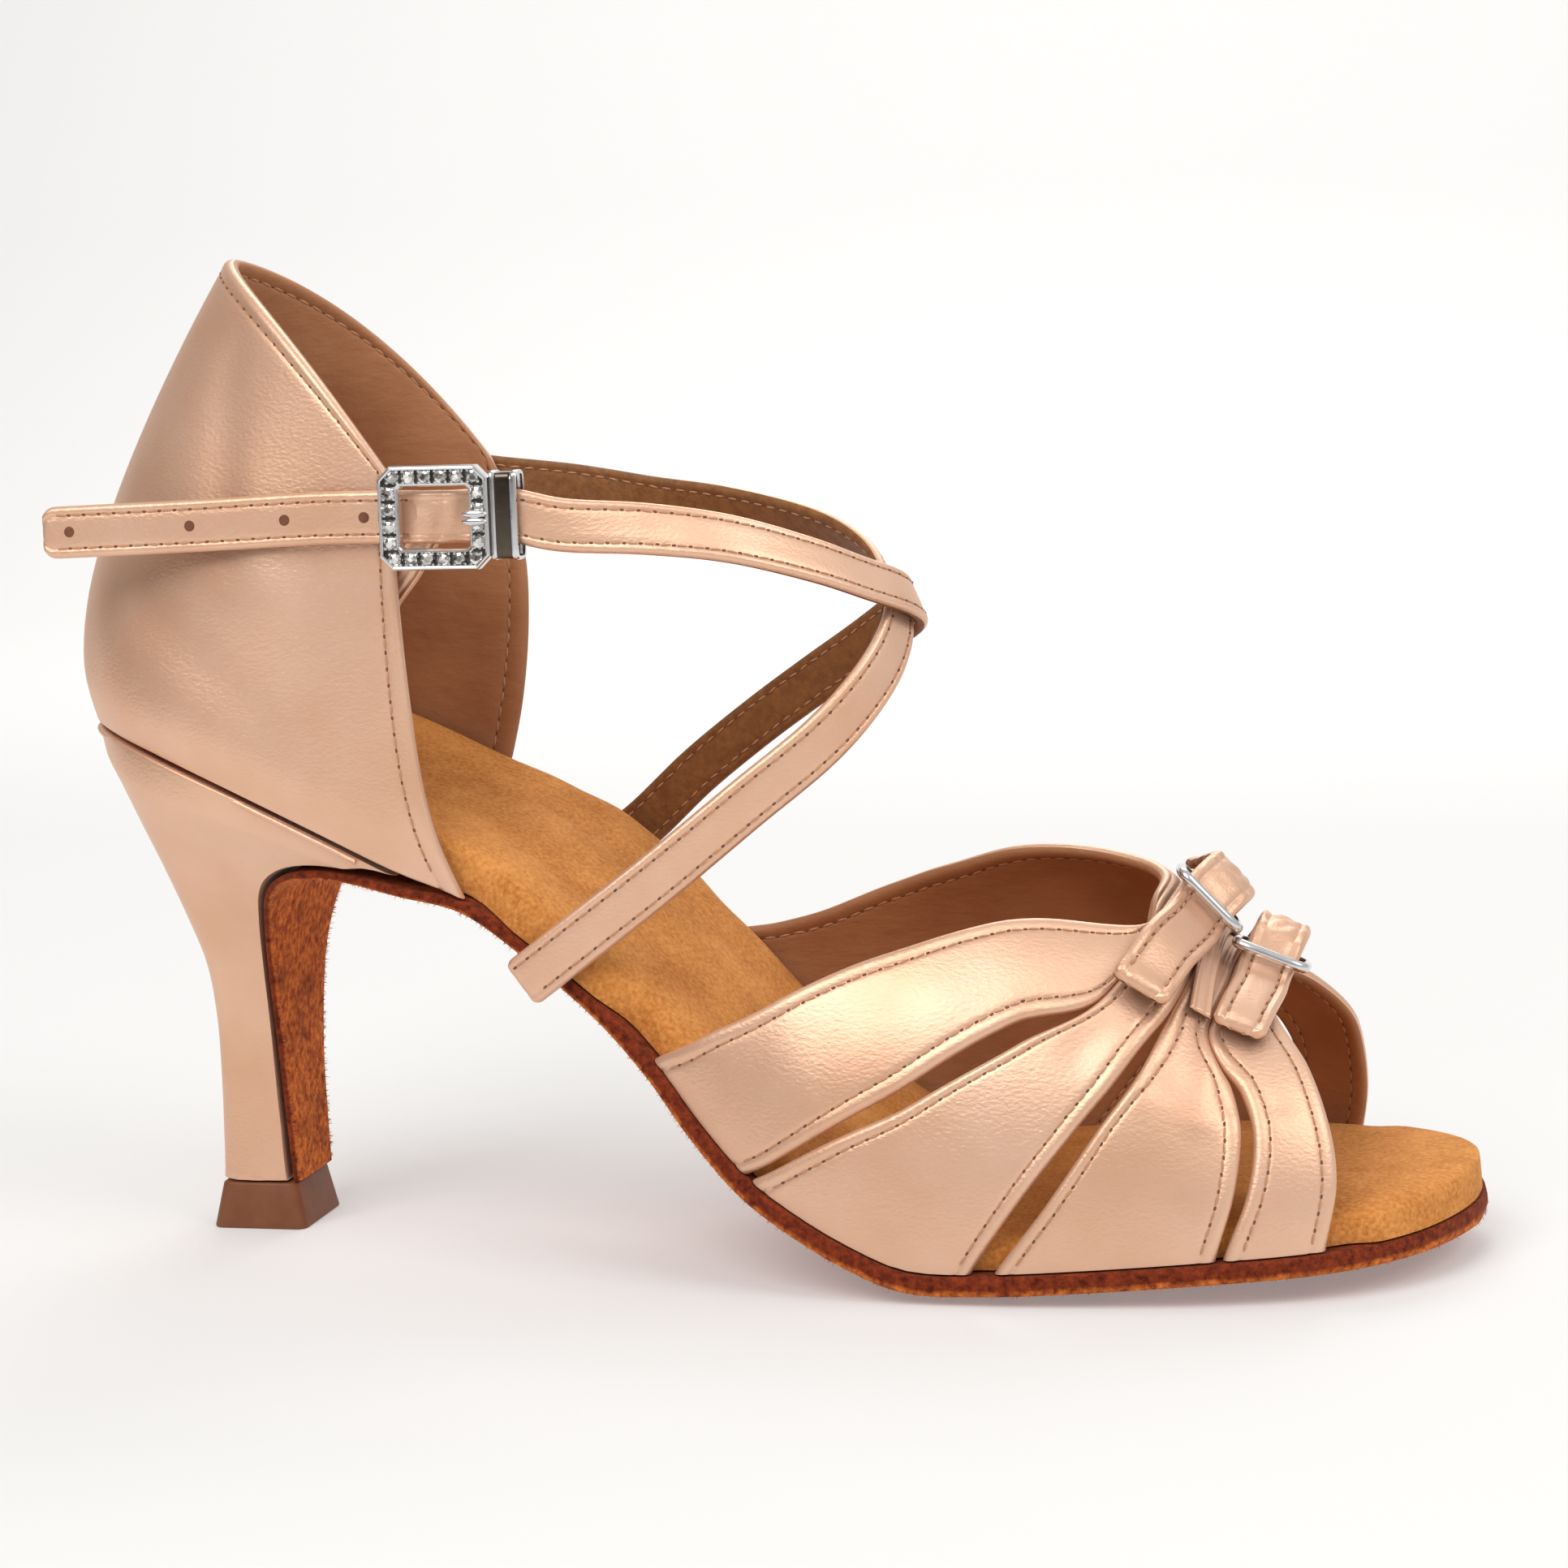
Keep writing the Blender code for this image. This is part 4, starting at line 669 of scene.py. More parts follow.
# Duchess satin: long floats of polyester over a fine ground, so it shines softly and shows
# a faint diagonal rib. The rib is drawn at 0.45 mm, coarser than the cloth's 0.2 mm, and
# the shade wanders over about 18 mm.
SATIN_RIB = 0.00045
satin, satin_shader = finish_of("rose-gold duchess satin", "d9a687", 0.42, Metallic=0.62,
                                Sheen_Weight=0.1, Sheen_Roughness=0.35,
                                Sheen_Tint=linear("fbe6d8"), Anisotropic=0.3)
satin_place = node(satin, "ShaderNodeTexCoord").outputs["Object"]
satin_turn = node(satin, "ShaderNodeMapping", [("Vector", satin_place)],
                  in_Rotation=(0.3, radians(38), 0.2), in_Scale=(0.55, 1.0, 1.0))
satin_rib = node(satin, "ShaderNodeTexNoise", [("Vector", satin_turn.outputs[0])],
                 in_Scale=1 / SATIN_RIB, in_Detail=2.0, in_Roughness=0.5)
satin_cloud = node(satin, "ShaderNodeTexNoise", [("Vector", satin_place)],
                   in_Scale=55.0, in_Detail=3.0, in_Roughness=0.5)
satin_colour = node(satin, "ShaderNodeMix", [(0, satin_cloud.outputs["Fac"])],
                    data_type="RGBA", in_6=linear("d8a280"), in_7=linear("efcbb1"))
wire(satin, satin_shader.inputs["Base Color"], satin_colour.outputs[2])
satin_bump = node(satin, "ShaderNodeBump", [("Height", satin_rib.outputs["Fac"])],
                  in_Strength=0.55, in_Distance=0.00012)
wire(satin, satin_shader.inputs["Normal"], satin_bump.outputs[0])
finish_piece(heel_mesh, "satin_heel", ["heel"], [satin])

# The heel tip: one moulding of brown rubber that flares to the floor, with softened edges.
# It is pressed and pinned into the end of the heel.
TIP_LENGTH = 0.0148
TIP_WIDTH = 0.0164
TIP_TAPER = 0.0015
TIP_ROUNDING = 0.0016
TIP_SOFTENING = 0.00035
tip_mesh = bmesh.new()
bmesh.ops.create_cube(tip_mesh, size=1.0)
bmesh.ops.scale(tip_mesh, vec=(TIP_LENGTH, TIP_WIDTH, TIP_HEIGHT), verts=tip_mesh.verts)
for vertex in tip_mesh.verts:
    if vertex.co.z > 0:
        vertex.co.x *= 1 - 2 * TIP_TAPER / TIP_LENGTH
        vertex.co.y *= 1 - TIP_TAPER / TIP_WIDTH
tip_upright = [edge for edge in tip_mesh.edges
               if abs(edge.verts[0].co.z - edge.verts[1].co.z) > TIP_HEIGHT / 2]
bmesh.ops.bevel(tip_mesh, geom=tip_upright, offset=TIP_ROUNDING, segments=5, profile=0.5,
                affect="EDGES", material=-1)
tip_rims = [edge for edge in tip_mesh.edges if edge.calc_face_angle(0.0) > 1.0]
bmesh.ops.bevel(tip_mesh, geom=tip_rims, offset=TIP_SOFTENING, segments=3, profile=0.5,
                affect="EDGES", material=-1)
bmesh.ops.translate(tip_mesh, vec=(0, 0, TIP_HEIGHT / 2), verts=tip_mesh.verts)
# Moulded rubber: half matt and brown, with a fine mould grain about 2.4 mm across
tip_rubber, tip_shader = finish_of("moulded brown rubber", "7a4529", 0.5,
                                   Specular_IOR_Level=0.4)
mottled(tip_rubber, tip_shader, ("6d3b20", "865232"), (0.15, 0.0002), 420.0, in_Detail=5.0)
finish_piece(tip_mesh, "rubber_tip", ["heel_tip"], [tip_rubber], 1.2)

# The heel cup: satin over a stiffener, lined with smooth leather. Both are turned in at the
# rim and the front edges and sewn through in one row, which pulls a shallow groove.
COUNTER_WALL = 0.0020
COUNTER_HEIGHT = 0.0669
COUNTER_FRONT_HEIGHT = 0.0602
COUNTER_LEAN = 0.0230
COUNTER_INNER_REACH = 0.0310
COUNTER_RAKE = 0.0080
COUNTER_SEAM = 0.0027
COUNTER_FRONT_RUN = 0.080   # metres for one unit of around, at the front edges
COUNTER_SPREAD = 1.5        # power that brings the cup's sections closer at the heel
SEAM_HALF_WIDTH = 0.00035
LINING_DENT = 0.3           # share of a dent's depth that its lining follows
SKIN = 0.00012              # how deep a stitch is sunk under the face that it lies on
COUNTER = [
    # back_rise front_rise lean    outer_rake inner_swell half   round power bow
    (0.130,     0.137,    -0.070,  0.32,      0.20,       1.004, 0.52, 2.00, 0.000),
    (0.280,     0.295,    -0.020,  0.59,      0.42,       1.011, 0.56, 1.98, 0.000),
    (0.450,     0.493,     0.140,  0.76,      0.58,       1.004, 0.63, 1.92, 0.000),
    (0.640,     0.692,     0.390,  0.89,      0.62,       0.974, 0.76, 1.85, 0.010),
    (0.835,     0.866,     0.700,  0.96,      0.42,       0.943, 0.90, 1.75, 0.026),
    (1.000,     1.000,     1.000,  1.00,      0.06,       0.928, 1.00, 1.66, 0.048),
]
COUNTER_TOP = len(COUNTER)
COUNTER_LEVEL = COUNTER_HEIGHT / COUNTER_TOP
CUP_GIRTH_MM = 75.0         # millimetres for one unit of around, in the table of dents
FOLD_FADE = 0.004           # metres from a free edge within which a dent fades out
# Soft dents of the satin: start and end as (around mm, level mm), half width, depth in mm
CUP_FOLDS = [
    # a0    b0    a1    b1    width depth
    (-50.0, 26.0, -28.0, 30.0, 7.0, 0.85),
    (-60.0, 12.0, -40.0, 16.0, 6.0, -0.35),
    (-30.0, 12.0, -22.0, 22.0, 7.0, -0.40),
    (-44.0, 44.0, -34.0, 56.0, 5.0, 0.45),
    (-54.0, 38.0, -46.0, 46.0, 4.0, -0.25),
    (-62.0, 30.0, -60.0, 44.0, 4.0, 0.35),
    (20.0,  20.0,  46.0, 26.0, 7.0, 0.60),
    (28.0,  44.0,  44.0, 40.0, 5.0, 0.35),
]


def counter_level(level, around):
    """Outer point of a whole level; around runs from -1 (outer front) by the back to 1."""
    along = abs(around) ** COUNTER_SPREAD
    foot_back = bed(FOOT_END, 0.0)
    side = -1.0 if around < 0 else 1.0
    reach = COUNTER_REACH if around < 0 else COUNTER_INNER_REACH
    if level == 0:
        x = foot_back.x + (reach - foot_back.x) * along
        point = bed(foot_at(x)[5], side, GAP)
        return point + Vector((GAP if along == 0 else 0.0, 0, GAP))
    row = COUNTER[level - 1]
    back_rise, front_rise, lean, outer_rake, inner_swell, half, rounding, power, bow = row
    foot_front = bed(foot_at(reach)[5], side)
    back = foot_back + Vector((lean * COUNTER_LEAN, 0, back_rise * COUNTER_HEIGHT))
    swell = -outer_rake if around < 0 else inner_swell
    corner_z = bed(foot_at(COUNTER_REACH)[5], -1.0).z + COUNTER_FRONT_HEIGHT
    front = Vector((reach + swell * COUNTER_RAKE, 0,
                    foot_front.z * (1 - front_rise) + corner_z * front_rise))
    point = back.lerp(front, along)
    bend = max(1 - along / rounding, 0.0)
    point.y = side * half * SEAT_HALF * (1 - bend ** power) ** (1 / power)
    point.z += bow * COUNTER_HEIGHT * 4 * along * (1 - along)
    return point


counter_columns = {}


def counter_point(around, level):
    """Outer surface of the heel cup at a level place from 0 to 6."""
    key = round(around, 6)
    if key not in counter_columns:
        counter_columns[key] = [tuple(counter_level(i, around)) for i in range(COUNTER_TOP + 1)]
    return Vector(spline(counter_columns[key], level))


def counter_normal(around, level):
    """Outward unit normal of the heel cup."""
    side = (counter_point(min(around + 0.02, 1), level)
            - counter_point(max(around - 0.02, -1), level))
    up = (counter_point(around, min(level + 0.1, COUNTER_TOP))
          - counter_point(around, max(level - 0.1, 0)))
    normal = up.cross(side)
    normal.z *= 0.5     # turned towards level, as the solid's wall is measured
    return normal.normalized()


def turned_edge(distance, thickness):
    """How far a skin has drawn in where it turns round a folded edge."""
    half = thickness / 2
    share = max(1 - distance / half, 0.0)
    return half * (1 - sqrt(max(1 - share ** 2, 0.0)))


def seam_groove(distance, seam, depth=0.00016):
    """Depth of the groove that a row of stitches pulls, with the plump edge beside it."""
    groove = depth * exp(-((distance - seam) / SEAM_HALF_WIDTH) ** 2)
    plump = depth * 0.5 * exp(-((distance - seam * 0.5) / (seam * 0.3)) ** 2)
    return (groove - plump) * min(distance / 0.0003, 1.0)


def counter_station(column, row):
    """Around, level and metres to the front edge, the rim and the foot of a grid place."""
    share, metres = column
    around = -1 + 2 * share + metres / COUNTER_FRONT_RUN
    level_share, level_metres = row
    level = COUNTER_TOP * level_share + level_metres / COUNTER_LEVEL
    front = (1 - abs(around)) * COUNTER_FRONT_RUN
    top = (COUNTER_TOP - level) * COUNTER_LEVEL
    return around, level, front, top, level * COUNTER_LEVEL


def counter_skin(skin):
    """Place function of the satin (skin 0) or the lining (skin 1) of the heel cup."""
    def place(column, row):
        around, level, front, top, foot = counter_station(column, row)
        nearest = min(front, top, foot)
        depth = turned_edge(nearest, COUNTER_WALL)
        depth += seam_groove(min(front, top), COUNTER_SEAM)
        folds = fold_depth(CUP_FOLDS, around * CUP_GIRTH_MM, level * COUNTER_LEVEL * 1000)
        folds *= min(nearest / FOLD_FADE, 1.0)
        depth = COUNTER_WALL - depth - LINING_DENT * folds if skin else depth + folds
        return counter_point(around, level) - counter_normal(around, level) * depth
    return place


# Metres from an edge at which the grid has a line: close at the turn and at the seam
free_edge = [0.0, 0.00008, 0.00025, 0.0005, 0.001, 0.0015, 0.0019, 0.0023, 0.0025, 0.0027,
             0.0029, 0.0031, 0.0036, 0.0045]
foot_edge = [0.0, 0.00015, 0.0005, 0.001, 0.002]
cup_columns = [(0.0, s) for s in free_edge]
cup_columns += [(f, free_edge[-1] * (1 - 2 * f)) for f in even(0, 1, 74)[1:-1]]
cup_columns += [(1.0, -s) for s in reversed(free_edge)]
cup_rows = [(0.0, s) for s in foot_edge]
cup_rows += [(f, foot_edge[-1] * (1 - f) - free_edge[-1] * f) for f in even(0, 1, 26)[1:-1]]
cup_rows += [(1.0, -s) for s in reversed(free_edge)]
cup_mesh = bmesh.new()
add_skin(cup_mesh, cup_columns, cup_rows, counter_skin(0))
add_skin(cup_mesh, cup_columns, cup_rows, counter_skin(1), 1)
bmesh.ops.remove_doubles(cup_mesh, verts=cup_mesh.verts, dist=2e-6)

# Lining leather: thin smooth calf, matt, with soft patches about 17 mm wide and a drawn
# grain of 2.4 mm by twice that, coarser than the real grain so that it shows
lining, lining_shader = finish_of("smooth lining leather", "a57657", 0.55,
                                  Specular_IOR_Level=0.35)
lining_place = node(lining, "ShaderNodeTexCoord").outputs["Object"]
lining_stretch = node(lining, "ShaderNodeMapping", [("Vector", lining_place)],
                      in_Scale=(0.45, 1.0, 1.0))
lining_grain = node(lining, "ShaderNodeTexNoise", [("Vector", lining_stretch.outputs[0])],
                    in_Scale=420.0, in_Detail=5.0, in_Roughness=0.6)
lining_cloud = node(lining, "ShaderNodeTexNoise", [("Vector", lining_place)],
                    in_Scale=60.0, in_Detail=3.0)
lining_colour = node(lining, "ShaderNodeMix", [(0, lining_cloud.outputs["Fac"])],
                     data_type="RGBA", in_6=linear("8a5230"), in_7=linear("c08a62"))
wire(lining, lining_shader.inputs["Base Color"], lining_colour.outputs[2])
lining_bump = node(lining, "ShaderNodeBump", [("Height", lining_grain.outputs["Fac"])],
                   in_Strength=0.55, in_Distance=0.0005)
wire(lining, lining_shader.inputs["Normal"], lining_bump.outputs[0])
finish_piece(cup_mesh, "heel_cup", ["counter"], [satin, lining])

# The stitches: rose polyester thread, lock-stitched by machine at 2.3 mm a stitch. Each one
# is pulled a little into the satin between two needle holes, drawn as dark spots of painted
# shade.
STITCH = 0.0023
STITCH_PARTS = [
    # offset        rise     half length, half width, half height         material
    (0.0,          0.00004, (STITCH * 0.36, 0.00016, 0.000144), 0),    # the thread
    # the needle hole: a dark spot of painted shade where the thread dives
    (STITCH * 0.5, 0.00002, (0.00036, 0.00019, 0.00007),        1),    # the needle hole
]
# Polyester thread: slightly glossy, a shade deeper than the satin, with a twist of 0.3 mm
thread, thread_shader = finish_of("polyester thread", "b98864", 0.5, Sheen_Weight=0.2)
mottled(thread, thread_shader, None, (0.4, 0.0001), 3500.0)
# Needle hole: painted shadow in the satin where the thread dives, also the painted shade of the
# tail holes
needle_hole_shade, hole_shader = finish_of("needle hole shadow", "4a2413", 0.9)
mottled(needle_hole_shade, hole_shader, ("5a3320", "8a5b40"), None, 900.0)


def add_stitch(mesh_builder, middle, ahead, up, wobble):
    """One stitch lying along a seam, with the needle hole's painted shade in front of it."""
    turn = Matrix((ahead, up.cross(ahead), up)).transposed().to_4x4()
    turn = turn @ Matrix.Rotation(wobble, 4, "Z")
    for offset, rise, size, index in STITCH_PARTS:
        centre = Matrix.Translation(middle + ahead * offset + up * rise)
        made = bmesh.ops.create_uvsphere(
            mesh_builder, u_segments=6, v_segments=4, radius=1.0,
            matrix=centre @ turn @ Matrix.Diagonal((*size, 1.0)))["verts"]
        if index:
            for face in {face for vertex in made for face in vertex.link_faces}:
                face.material_index = 1


def sew(name, seams):
    """Rows of stitches; each seam lists (point, outward normal) pairs along its line."""
    thread_mesh = bmesh.new()
    stitch_draw = random.Random(11)
    for seam in seams:
        seam_mesh = bmesh.new()
        travelled = STITCH * 0.5
        for (start, _), (end, normal) in zip(seam, seam[1:]):
            run = end - start
            ahead = run.normalized()
            up = (normal - ahead * normal.dot(ahead)).normalized()
            while travelled <= run.length and run.length > 0:
                add_stitch(seam_mesh, start + ahead * travelled, ahead, up,
                           stitch_draw.uniform(-0.12, 0.12))
                travelled += STITCH
            travelled -= run.length
        seam_data = bpy.data.meshes.new(name)
        seam_mesh.to_mesh(seam_data)
        seam_mesh.free()
        thread_mesh.from_mesh(seam_data)
        bpy.data.meshes.remove(seam_data)
    finish_piece(thread_mesh, name, [], [thread, needle_hole_shade])


def counter_seam(skin):
    """Line of stitches up one front edge, over the rim and down the other."""
    seat_line = []
    inside = COUNTER_SEAM / COUNTER_FRONT_RUN
    below = COUNTER_SEAM / COUNTER_LEVEL
    stops = [(-1 + inside, level) for level in even(0.4, COUNTER_TOP - below, 50)]
    stops += [(around, COUNTER_TOP - below) for around in even(-1 + inside, 1 - inside, 140)[1:]]
    stops += [(1 - inside, level) for level in even(COUNTER_TOP - below, 0.4, 50)[1:]]
    for around, level in stops:
        normal = counter_normal(around, level)
        depth = COUNTER_WALL - SKIN if skin else SKIN
        point = counter_point(around, level) - normal * depth
        seat_line.append((point, normal * (-1 if skin else 1)))
    return seat_line


sew("heel_cup_stitches", [counter_seam(0), counter_seam(1)])

# The bead under the heel cup: the satin of the heel is turned over a cord where the cup
# stands on it, which shows as a bright line below a dark one.
BEAD_RADIUS = 0.00045
BEAD_BELOW = 0.0012         # metres under the cup's foot
BEAD_INSIDE = 0.00025
BEAD_REACH = 0.83           # share of the cup's run, to where the sole begins
bead_mesh = bmesh.new()
bead_stops = even(-BEAD_REACH, BEAD_REACH, 130)


def bead_place(turn_share, around):
    """Point round the bead's section at a place round the seat."""
    centre = counter_level(0, around)
    ahead = counter_level(0, min(around + 0.01, 1)) - counter_level(0, max(around - 0.01, -1))
    out = Vector((ahead.y, -ahead.x, 0.0)).normalized()
    if out.dot(Vector((centre.x - 0.01, centre.y, 0))) < 0:
        out = -out
    angle = 2 * pi * turn_share
    middle = centre - Vector((0, 0, BEAD_BELOW)) - out * BEAD_INSIDE
    return middle + out * BEAD_RADIUS * cos(angle) + Vector((0, 0, BEAD_RADIUS * sin(angle)))


add_skin(bead_mesh, even(0, 1, 10), bead_stops, bead_place)
close_up(bead_mesh)
finish_piece(bead_mesh, "heel_bead", [], [satin])

# The vamp: four satin panels a side that fan out from the throat to the feather edge. Each
# is lined with leather, turned in and sewn along both edges, and gathered under the bands.
CREST_HEIGHT = 0.0575
CREST_SIDE = 0.05
GIRTH_POWER = 2.15
PANEL_SEAM = 0.0023
PANEL_GROOVE = 0.00014
PANEL_FULL = 0.0072         # metres of width under which a panel's edges and seam draw together
VAMP_GIRTH_MM = 110.0       # millimetres for the whole girth, in the table of folds
FEATHER = 0.004             # share of the girth at which the panels stand on the sole
CREST = [
    # along   height
    (0.400, 1.040), (0.480, 1.030), (0.560, 1.005), (0.640, 0.980), (0.700, 0.945),
    (0.742, 0.900), (0.777, 0.845), (0.801, 0.760), (0.820, 0.680), (0.835, 0.645),
    (0.850, 0.625), (0.875, 0.590), (0.900, 0.545), (0.925, 0.480), (0.950, 0.390),
]
FINE_CREST = [spline(CREST, i / 50) for i in range(50 * (len(CREST) - 1) + 1)]
FINE_CREST_ALONG = [row[0] for row in FINE_CREST]
FAN = [
    # edge            share of the sole's length, share of the girth: from outer foot to inner
    ("panel 1 rear",  [(0.444, 0.00), (0.497, 0.115), (0.580, 0.225), (0.680, 0.305),
                       (0.772, 0.352), (0.780, 0.44), (0.774, 0.535), (0.728, 0.600),
                       (0.645, 0.665), (0.565, 0.770), (0.491, 0.890), (0.434, 1.00)]),
    ("panel 1 front", [(0.514, 0.00), (0.575, 0.080), (0.634, 0.142), (0.698, 0.200),
                       (0.757, 0.247), (0.789, 0.40), (0.789, 0.600), (0.757, 0.753),
                       (0.698, 0.800), (0.634, 0.858), (0.575, 0.920), (0.514, 1.00)]),
    ("panel 2 rear",  [(0.518, 0.00), (0.575, 0.070), (0.636, 0.126), (0.700, 0.180),
                       (0.757, 0.247), (0.789, 0.40), (0.789, 0.600), (0.757, 0.753),
                       (0.700, 0.820), (0.636, 0.874), (0.575, 0.930), (0.518, 1.00)]),
    ("panel 2 front", [(0.671, 0.00), (0.707, 0.055), (0.742, 0.112), (0.774, 0.178),
                       (0.802, 0.277), (0.812, 0.40), (0.812, 0.600), (0.808, 0.723),
                       (0.795, 0.815), (0.772, 0.888), (0.739, 0.945), (0.700, 1.00)]),
    ("panel 3 rear",  [(0.687, 0.00), (0.720, 0.045), (0.752, 0.105), (0.783, 0.178),
                       (0.802, 0.277), (0.812, 0.40), (0.812, 0.600), (0.808, 0.723),
                       (0.800, 0.815), (0.780, 0.890), (0.751, 0.950), (0.716, 1.00)]),
    ("panel 3 front", [(0.833, 0.00), (0.845, 0.070), (0.849, 0.150), (0.842, 0.215),
                       (0.825, 0.275), (0.832, 0.40), (0.832, 0.600), (0.825, 0.725),
                       (0.842, 0.785), (0.849, 0.850), (0.845, 0.930), (0.833, 1.00)]),
    ("panel 4 rear",  [(0.838, 0.00), (0.853, 0.070), (0.857, 0.145), (0.848, 0.210),
                       (0.825, 0.275), (0.832, 0.40), (0.832, 0.600), (0.825, 0.725),
                       (0.848, 0.790), (0.857, 0.855), (0.853, 0.930), (0.838, 1.00)]),
    ("panel 4 front", [(0.904, 0.00), (0.911, 0.090), (0.906, 0.180), (0.890, 0.275),
                       (0.865, 0.360), (0.861, 0.44), (0.866, 0.540), (0.884, 0.620),
                       (0.904, 0.700), (0.910, 0.790), (0.911, 0.900), (0.904, 1.00)]),
]
FAN_HUB = (4, 7)            # places between which two neighbouring edges run as one
FAN_END = 11
# Folds of the satin near the throat: start and end as (x mm, girth mm), half width, depth
VAMP_FOLDS = [
    # a0     b0    a1     b1    width depth
    (143.0, 31.0, 138.0, 20.0, 2.4, 0.55),
    (147.0, 31.0, 149.0, 21.0, 2.2, 0.50),
    (145.5, 29.0, 144.0, 17.0, 1.8, -0.40),
    (137.0, 29.0, 128.0, 20.0, 2.4, 0.40),
    (150.0, 33.0, 154.0, 22.0, 2.0, 0.30),
    (134.0, 31.0, 122.0, 24.0, 2.6, 0.30),
    (108.0, 22.0,  92.0, 12.0, 5.0, -0.35),
    (143.0, 79.0, 138.0, 90.0, 2.4, 0.50),
    (147.0, 79.0, 149.0, 89.0, 2.2, 0.45),
    (135.0, 80.0, 124.0, 88.0, 2.6, 0.40),
]


def last_point(x, girth):
    """Point on the last; girth runs from 0 (outer feather edge) over the crest to 1."""
    _, z, outer, inner, _, _ = foot_at(x)
    outer += WELT
    inner -= WELT
    middle = (inner - outer) / 2 * CREST_SIDE
    across, up = cos(pi * girth), sin(pi * girth)
    half = middle - outer if across > 0 else inner - middle
    y = middle - half * abs(across) ** (2 / GIRTH_POWER) * (1 if across > 0 else -1)
    crest = between(FINE_CREST, FINE_CREST_ALONG, (x + SEAT_OVERHANG) / SOLE_LENGTH)[1]
    height = (SOLE_THICKNESS + crest * CREST_HEIGHT - z) * max(up, 0.0) ** (2 / GIRTH_POWER)
    return Vector((x, y, z + lift_at(x, y) + height + GAP))


def last_normal(x, girth):
    """Outward unit normal of the last."""
    girth = min(max(girth, FEATHER), 1 - FEATHER)
    along = last_point(x + 0.0005, girth) - last_point(x - 0.0005, girth)
    around = last_point(x, girth + 0.003) - last_point(x, girth - 0.003)
    return along.cross(around).normalized()


def fan_edge(edge, place):
    """Place along the sole and round the girth of a panel edge."""
    rows = FAN[edge][1]
    first, final = FAN_HUB
    if first <= place <= final and 0 < edge < len(FAN) - 1:
        twin = edge + 1 if edge % 2 else edge - 1
        return [(a + b) / 2 for a, b in zip(spline(rows, place), spline(FAN[twin][1], place))]
    return spline(rows, place)


def panel_point(panel, share, row, depth):
    """Point in a panel; share runs over its width and depth is in metres below its face."""
    pairs = zip(fan_edge(2 * panel, row), fan_edge(2 * panel + 1, row))
    along, girth = [a * (1 - share) + b * share for a, b in pairs]
    x, girth = along_x(along), min(max(girth, 0.0), 1.0)
    inward = last_normal(x, girth) * -depth
    if girth < FEATHER or girth > 1 - FEATHER:
        inward.z = 0.0
    return last_point(x, girth) + inward, x, girth


panel_widths = {}


def panel_width(panel, row):
    """Width of a panel at a row."""
    if (panel, row) not in panel_widths:
        stops = [panel_point(panel, share, row, 0.0)[0] for share in even(0, 1, 6)]
        panel_widths[panel, row] = sum((b - a).length for a, b in zip(stops, stops[1:]))
    return panel_widths[panel, row]


def panel_skin(panel, skin):
    """Place function of the satin (skin 0) or the lining (skin 1) of a panel."""
    def place(column, row):
        width = panel_width(panel, row)
        squeeze = min(1.0, width / PANEL_FULL)
        share = column[0] + column[1] * squeeze / width
        distance = min(share, 1 - share) * width
        depth = turned_edge(distance, VAMP_WALL)
        depth += seam_groove(distance, PANEL_SEAM * squeeze, PANEL_GROOVE)
        _, x, girth = panel_point(panel, share, row, 0.0)
        folds = fold_depth(VAMP_FOLDS, x * 1000, girth * VAMP_GIRTH_MM)
        depth = (VAMP_WALL - depth if skin else depth) + folds
        return panel_point(panel, share, row, depth)[0]
    return place


panel_edge = [0.0, 0.00007, 0.00022, 0.00045, 0.0009, 0.0013, 0.0017, 0.0020, 0.00215, 0.0023,
              0.00245, 0.0026, 0.0029, 0.0034]
panel_columns = [(0.0, s) for s in panel_edge]
panel_columns += [(f, panel_edge[-1] * (1 - 2 * f)) for f in even(0, 1, 9)[1:-1]]
panel_columns += [(1.0, -s) for s in reversed(panel_edge)]
panel_rows = even(0, FAN_END, 132)
PANEL_SKIN = 0.0001
SEAM_RUNS = ((0.12, 4.4), (6.6, 10.88))     # rows of the fan that are sewn, on either side
panel_seams = []
for panel, panel_name in enumerate(("rear_panel", "wide_panel", "middle_panel", "toe_panel")):
    panel_mesh = bmesh.new()
    add_skin(panel_mesh, panel_columns, panel_rows, panel_skin(panel, 0))
    add_skin(panel_mesh, panel_columns, panel_rows, panel_skin(panel, 1), 1)
    close_up(panel_mesh, 2e-6)
    finish_piece(panel_mesh, "vamp_" + panel_name, ["vamp"], [satin, lining])
    for first_row, final_row in SEAM_RUNS:
        for skin in (0, 1):
            for far_side in (0, 1):
                seam_line = []
                for row in even(first_row, final_row, 60):
                    width = panel_width(panel, row)
                    inside = PANEL_SEAM * min(1.0, width / PANEL_FULL) / width
                    share = 1 - inside if far_side else inside
                    _, x, girth = panel_point(panel, share, row, 0.0)
                    depth = VAMP_WALL - PANEL_SKIN if skin else PANEL_SKIN
                    depth += fold_depth(VAMP_FOLDS, x * 1000, girth * VAMP_GIRTH_MM)
                    normal = last_normal(x, girth)
                    seam_line.append((panel_point(panel, share, row, depth)[0],
                                      -normal if skin else normal))
                panel_seams.append(seam_line)
sew("vamp_stitches", panel_seams)

